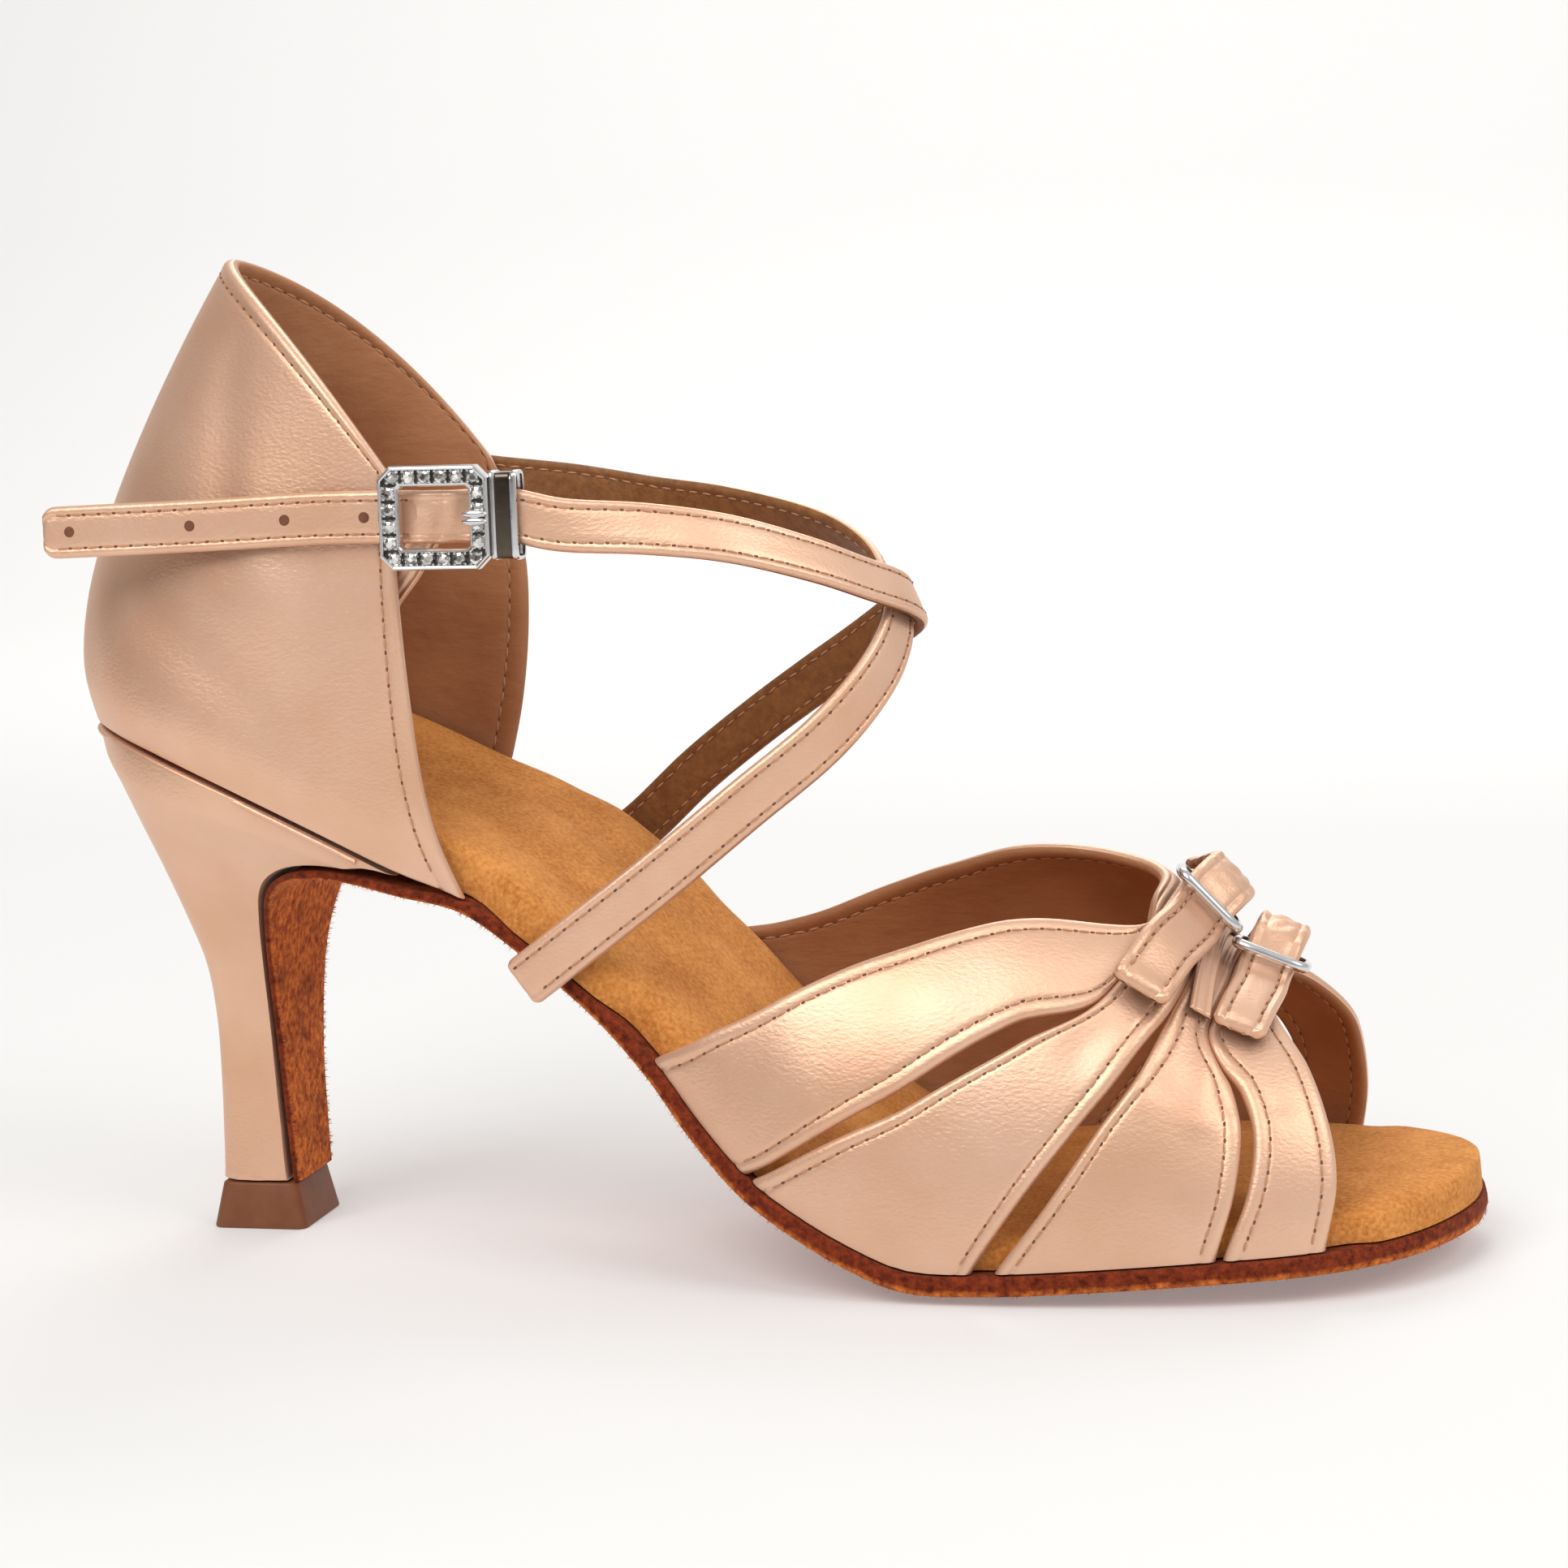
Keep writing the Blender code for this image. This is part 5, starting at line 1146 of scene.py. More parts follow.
# The crossed straps: two satin ribbons over the instep, cut as one pair and bonded where they
# cross. Each is folded round a tape, lined with crinkled leather and sewn along both edges.
INSTEP_HEIGHT = 0.0830
STRAP_WIDTH = 0.0074
STRAP_THICKNESS = 0.0016
TAIL_LENGTH = 0.0515
TAIL_DROP = 0.0014
BUCKLE_LENGTH = 0.0159
BUCKLE_HEIGHT = 0.0144
BUCKLE_RIM = 0.0029
BUCKLE_THICKNESS = 0.0020
STRAP_LEVEL = 0.880         # share of the cup's height at which the tail lies
STRAP_AXIS_ALONG = 0.358    # the straps face away from an upright axis here
STRAP_LEAN = 0.5
STRAP_SEAM = 0.00135
STRAP_GROOVE = 0.00011
CROSSING = (12.5, 7.7)      # rows of the upper and lower strap where they cross
CROSSING_LIFT = 0.00095
CROSSING_HALF = (1.5, 1.4)  # rows either side over which each of them gives way
STRAP_SKIN = 0.00007
ROW_STEPS = 20              # measured steps between two rows of a ribbon's route
SEAM_STOPS = 800            # stops on a metre of a ribbon's line of stitches
STITCH_END = 0.002          # metres from a strap's end at which its stitches stop
# Soft folds of the upper strap inside the buckle: row, height in metres
WINDOW_FOLDS = ((3.55, 0.00045), (3.85, -0.0004), (4.2, 0.0004), (4.5, -0.0004))
WINDOW_FOLD_LEAN = 35       # rows that a fold leans over a metre of width
WINDOW_FOLD_HALF = 0.13
UPPER_STRAP = [
    # along side    up
    (0.392, -0.966, 0.788), (0.449, -0.891, 0.895), (0.503, -0.774, 1.007),
    (0.553, -0.547, 1.050), (0.583, -0.321, 1.052), (0.600, -0.094, 1.042),
    (0.601,  0.120, 1.015), (0.583,  0.330, 0.953), (0.553,  0.515, 0.848),
    (0.513,  0.675, 0.698), (0.468,  0.810, 0.490), (0.417,  0.930, 0.257),
    (0.370,  1.005, 0.060), (0.330,  1.036, -0.070),
]
LOWER_STRAP = [
    # along side    up
    (0.325,  1.000, 0.612), (0.389,  0.925, 0.693), (0.453,  0.811, 0.829),
    (0.518,  0.623, 0.992), (0.562,  0.396, 1.048), (0.589,  0.170, 1.052),
    (0.602, -0.057, 1.015), (0.598, -0.245, 0.949), (0.582, -0.453, 0.859),
    (0.555, -0.649, 0.747), (0.508, -0.830, 0.576), (0.449, -0.958, 0.315),
    (0.397, -1.020, 0.108), (0.351, -1.032, -0.062),
]


def strap_place(along, side, up):
    """World point of a strap row."""
    x = along_x(along)
    y = side * SEAT_HALF
    return Vector((x, y, foot_at(x)[1] + lift_at(x, y) + up * INSTEP_HEIGHT))


def strap_facing(point, _place):
    """Rough outward direction of a strap at a point."""
    ahead = point.x - along_x(STRAP_AXIS_ALONG)
    return Vector((ahead, point.y, max(ahead, 0.0) * STRAP_LEAN))


def ribbon_frame(route, place, facing):
    """Point, outward direction and width direction of a ribbon at a row place."""
    point = Vector(spline(route, place))
    run = (Vector(spline(route, place + 0.1)) - Vector(spline(route, place - 0.1))).normalized()
    out = facing(point, place)
    out = (out - run * out.dot(run)).normalized()
    return point, out, out.cross(run).normalized()


def measured(route):
    """Places of a route in even steps, each with its length from the start."""
    stops = even(0, len(route) - 1, ROW_STEPS * (len(route) - 1))
    points = [Vector(spline(route, stop)) for stop in stops]
    lengths = [0.0]
    for start, end in zip(points, points[1:]):
        lengths.append(lengths[-1] + (end - start).length)
    return list(zip(stops, lengths)), lengths


def ribbon_point(ribbon, across, travelled, depth):
    """Point at metres across and along a ribbon, with depth under its outer face."""
    places, lengths = ribbon["measure"]
    place = between(places, lengths, travelled)[0]
    point, out, side = ribbon_frame(ribbon["route"], place, ribbon["facing"])
    lift = ribbon["lift"](place, across) if "lift" in ribbon else 0.0
    outward = ribbon["thickness"] / 2 - depth + lift
    return point + side * across + out * outward, out


def ribbon_half(ribbon, travelled):
    """Half width of a ribbon, drawn in where its ends are rounded."""
    full = ribbon["measure"][1][-1]
    half = ribbon["width"] / 2
    corner = ribbon.get("corner", 0.0)
    inside = min(travelled, full - travelled)
    if inside < corner:
        half -= corner - sqrt(max(corner ** 2 - (corner - inside) ** 2, 0.0))
    return half


def ribbon_skins(ribbon, steps, mesh_builder):
    """Add both faces of a ribbon, with turned edges and a groove along each seam."""
    width, thickness = ribbon["width"], ribbon["thickness"]
    full = ribbon["measure"][1][-1]
    seam = ribbon["seam"]
    edge = [0.0, 0.00006, 0.0002, 0.0004, 0.0007, seam - 0.0003, seam - 0.00013, seam,
            seam + 0.00013, seam + 0.0003]
    edge = [e for e in edge if 0 <= e < width / 2]
    middle = even(edge[-1], width - edge[-1], 7)[1:-1]
    columns = sorted(set(edge)) + middle + [width - e for e in sorted(set(edge), reverse=True)]
    near_end = [0.0, 0.00006, 0.0002, 0.0004, 0.0007, 0.0011, 0.0016]
    rows = near_end + even(0.0016, full - 0.0016, steps)[1:-1]
    rows += [full - e for e in reversed(near_end)]

    def skin(inner):
        def place(column, row):
            half = ribbon_half(ribbon, row)
            squeeze = 2 * half / width
            inside = min(column, width - column) * squeeze
            depth = turned_edge(min(inside, row, full - row), thickness)
            depth += seam_groove(inside, seam, ribbon.get("groove", STRAP_GROOVE))
            if inner:
                depth = thickness - depth
            return ribbon_point(ribbon, column * squeeze - half, row, depth)[0]
        return place

    add_skin(mesh_builder, columns, rows, skin(0))
    add_skin(mesh_builder, columns, rows, skin(1), ribbon.get("back", 1))
    bmesh.ops.remove_doubles(mesh_builder, verts=mesh_builder.verts, dist=2e-6)


def ribbon_seams(ribbon, start, finish, faces=(0, 1)):
    """Lines of stitches along both edges of a ribbon, on its face (0) and its back (1)."""
    lines = []
    for inner in faces:
        for beside in (-1, 1):
            line = []
            for travelled in even(start, finish, round((finish - start) * SEAM_STOPS)):
                across = beside * (ribbon_half(ribbon, travelled) - ribbon["seam"])
                depth = ribbon["thickness"] - STRAP_SKIN if inner else STRAP_SKIN
                point, out = ribbon_point(ribbon, across, travelled, depth)
                line.append((point, -out if inner else out))
            lines.append(line)
    return lines


# Upper strap: its tail lies beside the heel cup and runs through the ankle buckle
corner = counter_point(-1, STRAP_LEVEL * COUNTER_TOP)
beside_cup = corner.y - STRAP_THICKNESS / 2 - 2.5 * GAP
window_x = corner.x + BUCKLE_LENGTH / 2
window_half = (BUCKLE_LENGTH - BUCKLE_RIM) / 2
UPPER_ROUTE = [
    (corner.x - TAIL_LENGTH, beside_cup - GAP, corner.z - TAIL_DROP),
    (corner.x - TAIL_LENGTH * 0.55, beside_cup - GAP, corner.z - TAIL_DROP * 0.5),
    (corner.x - TAIL_LENGTH * 0.2, beside_cup - GAP, corner.z),
    (window_x - window_half, beside_cup, corner.z),
    (window_x, beside_cup - BUCKLE_THICKNESS * 0.85, corner.z),
    (window_x + window_half, beside_cup, corner.z),
    (window_x + BUCKLE_LENGTH * 0.62, beside_cup + GAP, corner.z),
] + [tuple(strap_place(*row)) for row in UPPER_STRAP]
inner_corner = counter_point(1, COUNTER_TOP)
beside_inner = inner_corner.y + STRAP_THICKNESS / 2 + 2 * GAP
LOWER_ROUTE = [
    (inner_corner.x - STRAP_WIDTH, beside_inner + 5 * GAP, inner_corner.z - STRAP_WIDTH * 0.34),
    (inner_corner.x + GAP, beside_inner + 3 * GAP, inner_corner.z - STRAP_WIDTH * 0.48),
] + [tuple(strap_place(*row)) for row in LOWER_STRAP]


def upper_lift(place, across):
    """The upper strap rides over the lower one, with two soft folds inside the buckle."""
    lift = CROSSING_LIFT * exp(-((place - CROSSING[0]) / CROSSING_HALF[0]) ** 2)
    for fold, height in WINDOW_FOLDS:
        lean = fold + across * WINDOW_FOLD_LEAN
        lift += height * exp(-((place - lean) / WINDOW_FOLD_HALF) ** 2)
    return lift


def lower_lift(place, _across):
    """The lower strap gives way under the upper one."""
    return -CROSSING_LIFT * exp(-((place - CROSSING[1]) / CROSSING_HALF[1]) ** 2)


# Strap lining: thin dark leather, crinkled all over because the strap bends, with creases
# about 1.5 mm apart
strap_lining, strap_lining_shader = finish_of("crinkled strap lining", "6b4330", 0.6,
                                              Specular_IOR_Level=0.35)
mottled(strap_lining, strap_lining_shader, ("4a2411", "a8713f"), (0.6, 0.0004), 650.0,
        in_Detail=6.0, in_Roughness=0.65)

upper_ribbon, lower_ribbon = [
    {"route": route, "measure": measured(route), "facing": strap_facing, "width": STRAP_WIDTH,
     "thickness": STRAP_THICKNESS, "seam": STRAP_SEAM, "corner": corner_cut, "lift": lift}
    for route, corner_cut, lift in ((UPPER_ROUTE, 0.0020, upper_lift),
                                    (LOWER_ROUTE, 0.0012, lower_lift))]
for name, ribbon, steps in (("upper_strap", upper_ribbon, 190),
                            ("lower_strap", lower_ribbon, 150)):
    ribbon_mesh = bmesh.new()
    ribbon_skins(ribbon, steps, ribbon_mesh)
    finish_piece(ribbon_mesh, name, ["cross_straps"], [satin, strap_lining])
upper_full, lower_full = [ribbon["measure"][1][-1] for ribbon in (upper_ribbon, lower_ribbon)]
in_window, past_window = TAIL_LENGTH + BUCKLE_RIM, TAIL_LENGTH + BUCKLE_LENGTH
sew("strap_stitches", ribbon_seams(upper_ribbon, STITCH_END, in_window)
    + ribbon_seams(upper_ribbon, past_window, upper_full - STITCH_END)
    + ribbon_seams(lower_ribbon, STITCH_END, lower_full - STITCH_END))

# The holes of the strap's tail: punched through satin and lining for the prong, each drawn as a
# dark disc of painted shade for its bottom, on a wider one of painted shade for its pressed rim.
HOLE_RADIUS = 0.00055
HOLES_AT = (-0.0154, 0.0028, 0.0170, 0.0286)    # world X
hole_mesh = bmesh.new()
for hole_x in HOLES_AT:
    travelled = hole_x - UPPER_ROUTE[0][0]
    point, out = ribbon_point(upper_ribbon, 0.0, travelled, 0.0)
    turn = out.to_track_quat("Z", "Y").to_matrix().to_4x4()
    # A dark disc of painted shade for the hole, and a wider, shallower one of painted shade for
    # its rim
    for radius, depth, rise in ((HOLE_RADIUS, 0.0002, 0.00001), (HOLE_RADIUS * 1.5, 0.00012, 0)):
        bmesh.ops.create_cone(
            hole_mesh, cap_ends=True, cap_tris=False, segments=16, radius1=radius,
            radius2=radius * 0.9, depth=depth,
            matrix=Matrix.Translation(point + out * rise) @ turn)
finish_piece(hole_mesh, "tail_holes", [], [needle_hole_shade])

# The tab behind the buckle: a narrow loop of satin, gathered into fine lengthwise folds. It
# is sewn inside the heel cup and holds the buckle's bar.
TAB_WIDTH = 0.0045
TAB_THICKNESS = STRAP_THICKNESS * 0.6
TAB_GROOVE = 0.00016
TAB_FOLD_DEPTH = 0.00005
TAB_FOLD_WAVE = 5600        # radians over a metre of width: folds 1.1 mm apart
NARROW_SEAM = 0.0009
tab_inside = corner.y + COUNTER_WALL + STRAP_THICKNESS / 2
TAB_ROUTE = [
    (corner.x - 0.0040, tab_inside + GAP, corner.z - 0.0200),
    (corner.x - 0.0030, tab_inside + GAP, corner.z - 0.0130),
    (corner.x + 0.0016, tab_inside - 0.0006, corner.z - 0.0070),
    (corner.x + 0.0062, corner.y + STRAP_THICKNESS * 0.75, corner.z),
    (corner.x + 0.0068, corner.y + STRAP_THICKNESS * 0.75, corner.z + 0.0030),
]
tab_mesh = bmesh.new()
tab_ribbon = {"route": TAB_ROUTE, "measure": measured(TAB_ROUTE), "width": TAB_WIDTH,
              "facing": lambda *_: Vector((0, -1, 0)), "thickness": TAB_THICKNESS,
              "seam": NARROW_SEAM, "groove": TAB_GROOVE, "back": 0,
              "lift": lambda _, across: TAB_FOLD_DEPTH * sin(across * TAB_FOLD_WAVE)}
ribbon_skins(tab_ribbon, 40, tab_mesh)
finish_piece(tab_mesh, "buckle_tab_loop", ["buckle_tab"], [satin])

# The ankle buckle: a cast nickel-plated frame with a raised lip round its outer edge, a
# thinner one round its window and a channel between them in which the stones are set.
PRONG_LENGTH = 0.0034
PRONG_HEIGHT = 0.0020
PRONG_THICKNESS = 0.0009
KEEPER_LENGTH = 0.0040
KEEPER_HEIGHT = 0.0124
KEEPER_WALL = 0.0007
CHANNEL_FLOOR = 0.62        # height of the channel, as a share of the frame's thickness
FRAME_CUT = 0.0018
CUT_SHRINK = 0.55           # how fast the cut corners shorten inwards
CUT_LEAST = 0.0004
frame_y = corner.y - STRAP_THICKNESS - 7 * GAP - BUCKLE_THICKNESS / 2
frame_centre = Vector((window_x, frame_y, corner.z))
# Section of the frame from its outer edge inwards: share of the rim, height over the back
FRAME_SECTION = [
    # in    high
    (0.00, 0.00), (0.00, 0.86), (0.05, 0.97), (0.12, 1.00), (0.19, 0.96), (0.23, 0.80),
    (0.25, CHANNEL_FLOOR), (0.78, CHANNEL_FLOOR), (0.81, 0.76), (0.86, 0.84), (0.93, 0.82),
    (0.99, 0.70), (1.00, 0.00),
]


def frame_corner(inset, turn):
    """Corner-cut rectangle round the buckle: eight corners and points between them."""
    cut = max(FRAME_CUT - inset * CUT_SHRINK, CUT_LEAST)
    half_x = BUCKLE_LENGTH / 2 - inset
    half_z = BUCKLE_HEIGHT / 2 - inset
    corners = [(half_x - cut, half_z), (half_x, half_z - cut), (half_x, cut - half_z),
               (half_x - cut, -half_z), (cut - half_x, -half_z), (-half_x, cut - half_z),
               (-half_x, half_z - cut), (cut - half_x, half_z)]
    first = int(turn) % 8
    share = turn - int(turn)
    start, end = corners[first], corners[(first + 1) % 8]
    return [a * (1 - share) + b * share for a, b in zip(start, end)]


def frame_place(column, row):
    """Point of the frame: column picks the section's row, row runs round the frame."""
    inset, high = FRAME_SECTION[int(column)]
    x, z = frame_corner(inset * BUCKLE_RIM, row % 8)
    return frame_centre + Vector((x, BUCKLE_THICKNESS * (0.5 - high), z))


frame_mesh = bmesh.new()
frame_turns = [i + share for i in range(8) for share in (0, 0.04, 0.96)] + [8.0]
add_skin(frame_mesh, range(len(FRAME_SECTION)), frame_turns, frame_place)
bmesh.ops.remove_doubles(frame_mesh, verts=frame_mesh.verts, dist=1e-6)
frame_rims = [edge for edge in frame_mesh.edges if edge.is_boundary]
bmesh.ops.bridge_loops(frame_mesh, edges=frame_rims)


def worn_plate(name, hex_colour, smooth, rubbed, scale, **pattern):
    """Plated metal whose gloss is rubbed unevenly between two roughness values."""
    plate, shader = finish_of(name, hex_colour, smooth, Metallic=1.0)
    place = node(plate, "ShaderNodeTexCoord").outputs["Object"]
    cloud = node(plate, "ShaderNodeTexNoise", [("Vector", place)], in_Scale=scale, **pattern)
    gloss = node(plate, "ShaderNodeMapRange", [("Value", cloud.outputs["Fac"])],
                 in_To_Min=smooth, in_To_Max=rubbed)
    wire(plate, shader.inputs["Roughness"], gloss.outputs["Result"])
    return plate


# Nickel plate: bright, with faint wear in the gloss, in patches about 1.4 mm wide
nickel = worn_plate("nickel plate", "d8d8da", 0.08, 0.30, 700.0, in_Detail=3.0)
# Channel floor: the same plate, dull and painted dark between the stones as painted shade in
# the recess, in 1.1 mm patches
channel_shade_plate, channel_shade_shader = finish_of("plate painted dark between the stones", "77777c", 0.45,
                                    Metallic=1.0)
mottled(channel_shade_plate, channel_shade_shader, ("1f1d1c", "6d6862"), None, 900.0)
# Faces of the channel floor take the plate painted dark, as painted shade between the stones
for face in frame_mesh.faces:
    height = frame_centre.y + BUCKLE_THICKNESS / 2 - face.calc_center_median().y
    if abs(height / BUCKLE_THICKNESS - CHANNEL_FLOOR) < 0.03:
        face.material_index = 1
finish_piece(frame_mesh, "buckle_frame", ["ankle_buckle"], [nickel, channel_shade_plate],
             crisp=0.5)

# The stones: round cut glass in claw settings, each a table, two rings of facets and a
# girdle, turned a little differently so that they flash one by one.
STONE_RADIUS = 0.00104
STONE_ROWS = (6, 4)         # stones along the top and between top and bottom at the sides
STONE_LINE = 0.52           # share of the rim, from outside, on which the stones sit
STONE_DRAW_IN = 0.0006      # the rows end this much inside the corners
STONE_TILT = 0.16
FACET_TURN = 1200           # radians that the facets turn over a metre of height
CLAWS_OUT = 1.02            # distance of the claws, in radii of their stone
CLAW_RADIUS = 0.00026
CLAW_RISE = 0.00022
STONE_CUT = [
    # share of radius, height in metres over the channel floor
    (1.00, 0.0000), (1.00, 0.00018), (0.80, 0.00052), (0.46, 0.00070),
]
stone_draw = random.Random(5)
stone_mesh = bmesh.new()
claw_mesh = bmesh.new()
stone_x = BUCKLE_LENGTH / 2 - BUCKLE_RIM * STONE_LINE
stone_z = BUCKLE_HEIGHT / 2 - BUCKLE_RIM * STONE_LINE
row_end = stone_x - STONE_DRAW_IN
stone_seats = [(x, z) for z in (-stone_z, stone_z)
               for x in even(-row_end, row_end, STONE_ROWS[0] - 1)]
stone_seats += [(x, z) for x in (-stone_x, stone_x)
                for z in even(-stone_z, stone_z, STONE_ROWS[1] + 1)[1:-1]]
for x, z in stone_seats:
    seat = frame_centre + Vector((x, BUCKLE_THICKNESS * (0.5 - CHANNEL_FLOOR), z))
    spin = stone_draw.uniform(0, 2 * pi)
    tilt = Matrix.Rotation(stone_draw.uniform(-STONE_TILT, STONE_TILT), 4, "X")
    tilt = tilt @ Matrix.Rotation(stone_draw.uniform(-STONE_TILT, STONE_TILT), 4, "Y")
    turn = Matrix.Rotation(pi / 2, 4, "X") @ tilt @ Matrix.Rotation(spin, 4, "Z")
    for (low, start), (high, end) in zip(STONE_CUT, STONE_CUT[1:]):
        middle = Matrix.Translation((0, 0, (start + end) / 2))
        bmesh.ops.create_cone(
            stone_mesh, cap_ends=True, cap_tris=False, segments=8,
            radius1=low * STONE_RADIUS, radius2=high * STONE_RADIUS, depth=end - start,
            matrix=Matrix.Translation(seat) @ turn @ Matrix.Rotation(start * FACET_TURN, 4, "Z")
            @ middle)
    for quarter in range(4):
        angle = pi / 4 + quarter * pi / 2
        claw = seat + Vector((cos(angle), 0, sin(angle))) * STONE_RADIUS * CLAWS_OUT
        claw.y -= CLAW_RISE
        bmesh.ops.create_uvsphere(claw_mesh, u_segments=6, v_segments=4, radius=CLAW_RADIUS,
                                  matrix=Matrix.Translation(claw))
# Cut glass: foiled behind, clear coat over grey; its colour is painted glints and painted dark
# reflections, in cells of near-white and near-black about 0.7 mm wide
glass, glass_shader = finish_of("foiled cut glass", "b9bcc4", 0.04, Metallic=0.85,
                                Coat_Weight=1.0, Coat_Roughness=0.02)
glass_place = node(glass, "ShaderNodeTexCoord").outputs["Object"]
# Painted glints and painted dark reflections: each cell of the stones is near-white or near-black
glint_and_dark_cells = node(glass, "ShaderNodeTexVoronoi", [("Vector", glass_place)], in_Scale=1400.0)
painted_glint_colour = node(glass, "ShaderNodeMix", [(0, glint_and_dark_cells.outputs["Color"])],
                    data_type="RGBA", in_6=linear("2c2a2b"), in_7=linear("fffdf8"))
wire(glass, glass_shader.inputs["Base Color"], painted_glint_colour.outputs[2])
finish_piece(stone_mesh, "buckle_stones", [], [glass], crisp=0.05)
finish_piece(claw_mesh, "stone_claws", [], [nickel])

# The keeper: a bent nickel strip that holds the strap beside the buckle, with a bright lip
# at both of its ends and a flat between them painted darker, as a painted dark reflection.
keeper_x = corner.x + BUCKLE_LENGTH + KEEPER_LENGTH / 2 - 2 * GAP
keeper_places = [stop for stop, _ in upper_ribbon["measure"][0][:9 * ROW_STEPS]]
keeper_stop = min(keeper_places, key=lambda stop: abs(spline(UPPER_ROUTE, stop)[0] - keeper_x))
keeper_centre = Vector((keeper_x, spline(UPPER_ROUTE, keeper_stop)[1], corner.z))
keeper_depth = STRAP_THICKNESS + 4 * GAP + 2 * KEEPER_WALL
KEEPER_SQUARENESS = (0.45, 0.14)    # powers of its outline along Y and Z
KEEPER_FLAT = (-0.02, 0.27)     # middle and half of the flat, in lengths from the centre
# Along the keeper: share of its length, how proud the strip stands there
KEEPER_SECTION = [(0.00, -0.5), (0.00, 0.6), (0.05, 1.0), (0.16, 1.0), (0.22, 0.55),
                  (0.30, 0.45), (0.70, 0.45), (0.78, 0.55), (0.84, 1.0), (0.95, 1.0),
                  (1.00, 0.6), (1.00, -0.5)]


def keeper_place(column, row):
    """Point of the keeper: column picks the section's row, row runs round the strap."""
    share, proud = KEEPER_SECTION[int(column)]
    half_y = keeper_depth / 2 - KEEPER_WALL * (1 - proud) * 0.5
    half_z = KEEPER_HEIGHT / 2 - KEEPER_WALL * (1 - proud) * 0.5
    angle = 2 * pi * row
    y = half_y * copysign(abs(cos(angle)) ** KEEPER_SQUARENESS[0], cos(angle))
    z = half_z * copysign(abs(sin(angle)) ** KEEPER_SQUARENESS[1], sin(angle))
    return keeper_centre + Vector(((share - 0.5) * KEEPER_LENGTH, y, z))


keeper_mesh = bmesh.new()
add_skin(keeper_mesh, range(len(KEEPER_SECTION)), even(0, 1, 48), keeper_place)
bmesh.ops.remove_doubles(keeper_mesh, verts=keeper_mesh.verts, dist=1e-6)
bmesh.ops.bridge_loops(keeper_mesh, edges=[e for e in keeper_mesh.edges if e.is_boundary])
# The middle faces take the nickel painted dark, a painted dark reflection
for face in keeper_mesh.faces:
    across_strip = (face.calc_center_median().x - keeper_x) / KEEPER_LENGTH
    if abs(across_strip - KEEPER_FLAT[0]) < KEEPER_FLAT[1]:
        face.material_index = 1
# Nickel painted dark: the strip's flat is painted darker than its lips as a painted dark
# reflection, it still mirrors the room, and its gloss is rubbed in patches about 2 mm wide
nickel_painted_dark = worn_plate("nickel plate painted dark", "5c534b", 0.08, 0.26, 500.0)
finish_piece(keeper_mesh, "keeper_strip", ["buckle_keeper"], [nickel, nickel_painted_dark])

# The prong: a small nickel-plated tongue, bent round the frame's bar. Its forked tip shows
# as two short ridges on the frame's side.
PRONG_FORK = 0.26           # distance of either ridge from the middle, in prong heights
PRONG_RIDGE = (1.1, 1.2, 0.56)  # a ridge's length, thickness and height, in the prong's
prong_mesh = bmesh.new()
for rise in (-PRONG_FORK, PRONG_FORK):
    bmesh.ops.create_uvsphere(
        prong_mesh, u_segments=16, v_segments=10, radius=0.5,
        matrix=Matrix.Translation((corner.x + BUCKLE_LENGTH - PRONG_LENGTH / 2,
                                   frame_y - (BUCKLE_THICKNESS + PRONG_THICKNESS) / 2 - GAP,
                                   corner.z + rise * PRONG_HEIGHT))
        @ Matrix.Diagonal((PRONG_LENGTH * PRONG_RIDGE[0], PRONG_THICKNESS * PRONG_RIDGE[1],
                           PRONG_HEIGHT * PRONG_RIDGE[2], 1.0)))
finish_piece(prong_mesh, "prong_tip", ["buckle_prong"], [nickel])

# The small bands over the throat: plump satin loops, folded over a cord at their outer end
# and drawn through a wire buckle, under which the panels' gathers meet.
REAR_BAND_WIDTH = 0.0086
FRONT_BAND_WIDTH = 0.0076
CENTRE_BAND_WIDTH = 0.0034
CENTRE_BAND_THICKNESS = 0.0008
BAND_BUCKLE_AT = 4.0        # row of each band at which it enters its buckle
BAND_SEAM = 0.0016
BAND_CORNER = 0.0012
BAND_GROOVE = 0.0002
BAND_STITCH_START = 0.0022
BAND_STITCH_STOP = 0.3      # rows before the buckle at which the stitches stop
REAR_HUMP = 0.0050
FRONT_HUMP = 0.0036
PIPE_HEIGHT = 0.0006        # the folded end of a band
PIPE_AT = 0.2               # and its row and half width in rows
PIPE_HALF = 0.18
CRUMPLE_HEIGHT = 0.00028    # the creases beyond its buckle
PLUMP_HEIGHT = 0.0007       # and the swell there
PLUMP_HALF = 0.0044
REAR_BAND = [
    # along girth  hump
    (0.776, 0.250, 0.26), (0.788, 0.320, 0.26), (0.797, 0.380, 0.26), (0.800, 0.415, 0.30),
    (0.800, 0.445, 0.64), (0.801, 0.474, 0.98), (0.802, 0.512, 1.00), (0.800, 0.548, 0.70),
    (0.796, 0.585, 0.36), (0.790, 0.625, 0.26),
]
FRONT_BAND = [
    # along girth  hump
    (0.840, 0.285, 0.06), (0.845, 0.330, 0.08), (0.850, 0.380, 0.08), (0.851, 0.415, 0.10),
    (0.852, 0.445, 0.56), (0.853, 0.474, 0.98), (0.853, 0.512, 1.00), (0.851, 0.548, 0.60),
    (0.848, 0.585, 0.10), (0.843, 0.625, 0.00),
]
CENTRE_BAND = [
    # along girth  hump
    (0.815, 0.290, 0.0), (0.815, 0.350, 0.0), (0.815, 0.420, 0.0), (0.815, 0.500, 0.0),
    (0.815, 0.580, 0.0), (0.815, 0.650, 0.0), (0.815, 0.710, 0.0),
]


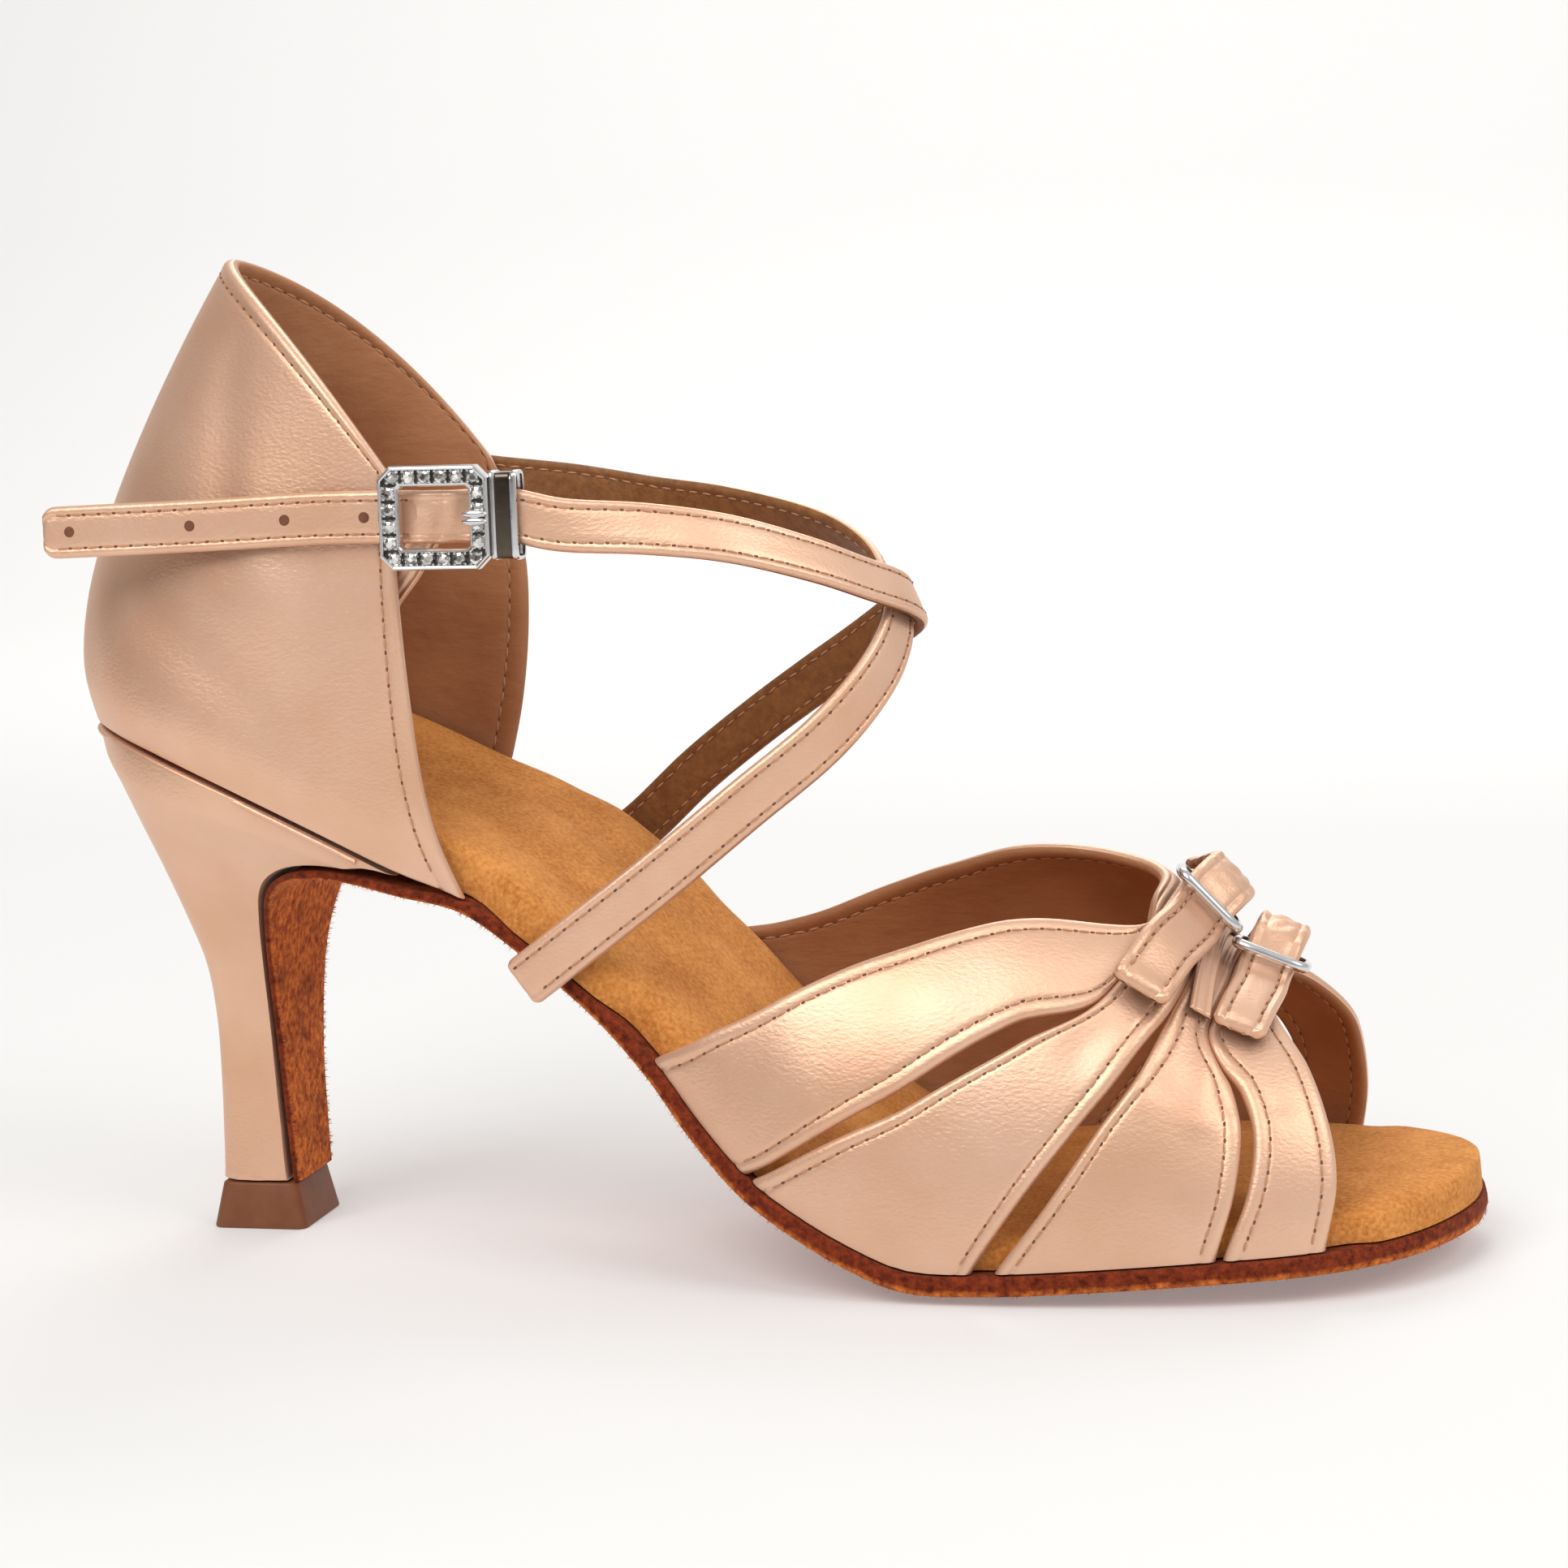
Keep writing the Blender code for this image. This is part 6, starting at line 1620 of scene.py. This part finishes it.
def band_route(rows, thickness, hump=0.0):
    """Route of a small band over the vamp, from its outer end to the inner side."""
    route = []
    for along, girth, share in rows:
        x = along_x(along)
        off = GAP * 1.5 + thickness / 2 + hump * share
        route.append(tuple(last_point(x, girth) + last_normal(x, girth) * off))
    return route


def band_facing(rows):
    """Outward direction along a small band: the last's own."""
    def facing(_point, place):
        along, girth, _ = spline(rows, place)
        return last_normal(along_x(along), girth)
    return facing


def band_lift(rows):
    """The folded end of a band: a plump pipe at its outer end."""
    def lift(place, across):
        pipe = PIPE_HEIGHT * exp(-((place - PIPE_AT) / PIPE_HALF) ** 2)
        beyond = min(max(place - BAND_BUCKLE_AT, 0.0), 1.0)
        # Creases 9 mm and 5.7 mm apart across the band, which shift on their way along it
        crumple = sin(place * 9 + across * 700) * sin(across * 1100 + rows[0][0] * 50)
        plump = PLUMP_HEIGHT * sqrt(max(1 - (across / PLUMP_HALF) ** 2, 0.0))
        return pipe + beyond * (CRUMPLE_HEIGHT * crumple + plump)
    return lift


band_seams = []
for name, rows, hump, width in (("rear_band", REAR_BAND, REAR_HUMP, REAR_BAND_WIDTH),
                                ("front_band", FRONT_BAND, FRONT_HUMP, FRONT_BAND_WIDTH)):
    route = band_route(rows, STRAP_THICKNESS, hump)
    band = {"route": route, "measure": measured(route), "facing": band_facing(rows),
            "width": width, "thickness": STRAP_THICKNESS, "seam": BAND_SEAM,
            "corner": BAND_CORNER, "groove": BAND_GROOVE, "lift": band_lift(rows)}
    band_mesh = bmesh.new()
    ribbon_skins(band, 60, band_mesh)
    finish_piece(band_mesh, name + "_loop", [name], [satin, strap_lining])
    to_buckle = band["measure"][1][round(ROW_STEPS * (BAND_BUCKLE_AT - BAND_STITCH_STOP))]
    band_seams += ribbon_seams(band, BAND_STITCH_START, to_buckle, faces=(0,))
centre_route = band_route(CENTRE_BAND, CENTRE_BAND_THICKNESS)
centre_band = {"route": centre_route, "measure": measured(centre_route),
               "facing": band_facing(CENTRE_BAND), "width": CENTRE_BAND_WIDTH,
               "thickness": CENTRE_BAND_THICKNESS, "seam": NARROW_SEAM}
centre_mesh = bmesh.new()
ribbon_skins(centre_band, 50, centre_mesh)
finish_piece(centre_mesh, "centre_band_strip", ["centre_band"], [satin, strap_lining])
sew("band_stitches", band_seams)

# The wire buckles of the small bands: round nickel-plated wire, bent to a loop with cut
# corners and brazed. Each is held by its own band, which runs through it.
BAND_BUCKLE_WIRE = 0.0006
WIRE_SHOWN = 0.00078        # as it looks with its plate, a little thicker than the solid's
BAND_BUCKLE_LENGTH = 0.0070
BAND_BUCKLE_TILT = 0.25
REAR_BUCKLE_RISE = 0.0038
FRONT_BUCKLE_RISE = 0.0027
END_SQUARENESS = 0.42       # powers of the loop's outline along and across the band
SIDE_SQUARENESS = 0.32
for name, rows, width, rise in (("rear_band", REAR_BAND, REAR_BAND_WIDTH, REAR_BUCKLE_RISE),
                                ("front_band", FRONT_BAND, FRONT_BAND_WIDTH, FRONT_BUCKLE_RISE)):
    ground = band_route(rows, 0.0)
    _, out, side = ribbon_frame(ground, BAND_BUCKLE_AT, band_facing(rows))
    centre = Vector(spline(ground, BAND_BUCKLE_AT)) + out * rise
    run = side.cross(out) * cos(BAND_BUCKLE_TILT) - out * sin(BAND_BUCKLE_TILT)
    half_run = BAND_BUCKLE_LENGTH / 2
    half_side = width / 2 + BAND_BUCKLE_WIRE + 2 * GAP
    up = run.cross(side).normalized()

    def loop_place(turn_share, row):
        """Point round the wire's section at a place round the loop."""
        points = []
        for angle in (2 * pi * row, 2 * pi * (row + 0.002)):
            ahead = half_run * copysign(abs(cos(angle)) ** END_SQUARENESS, cos(angle))
            across = half_side * copysign(abs(sin(angle)) ** SIDE_SQUARENESS, sin(angle))
            points.append(centre + run * ahead + side * across)
        tangent = (points[1] - points[0]).normalized()
        beside = tangent.cross(up)
        angle = 2 * pi * turn_share
        return points[0] + (beside * cos(angle) + up * sin(angle)) * WIRE_SHOWN

    loop_mesh = bmesh.new()
    add_skin(loop_mesh, even(0, 1, 14), even(0, 1, 96), loop_place)
    bmesh.ops.remove_doubles(loop_mesh, verts=loop_mesh.verts, dist=1e-6)
    finish_piece(loop_mesh, name + "_wire", [name + "_buckle"], [nickel])
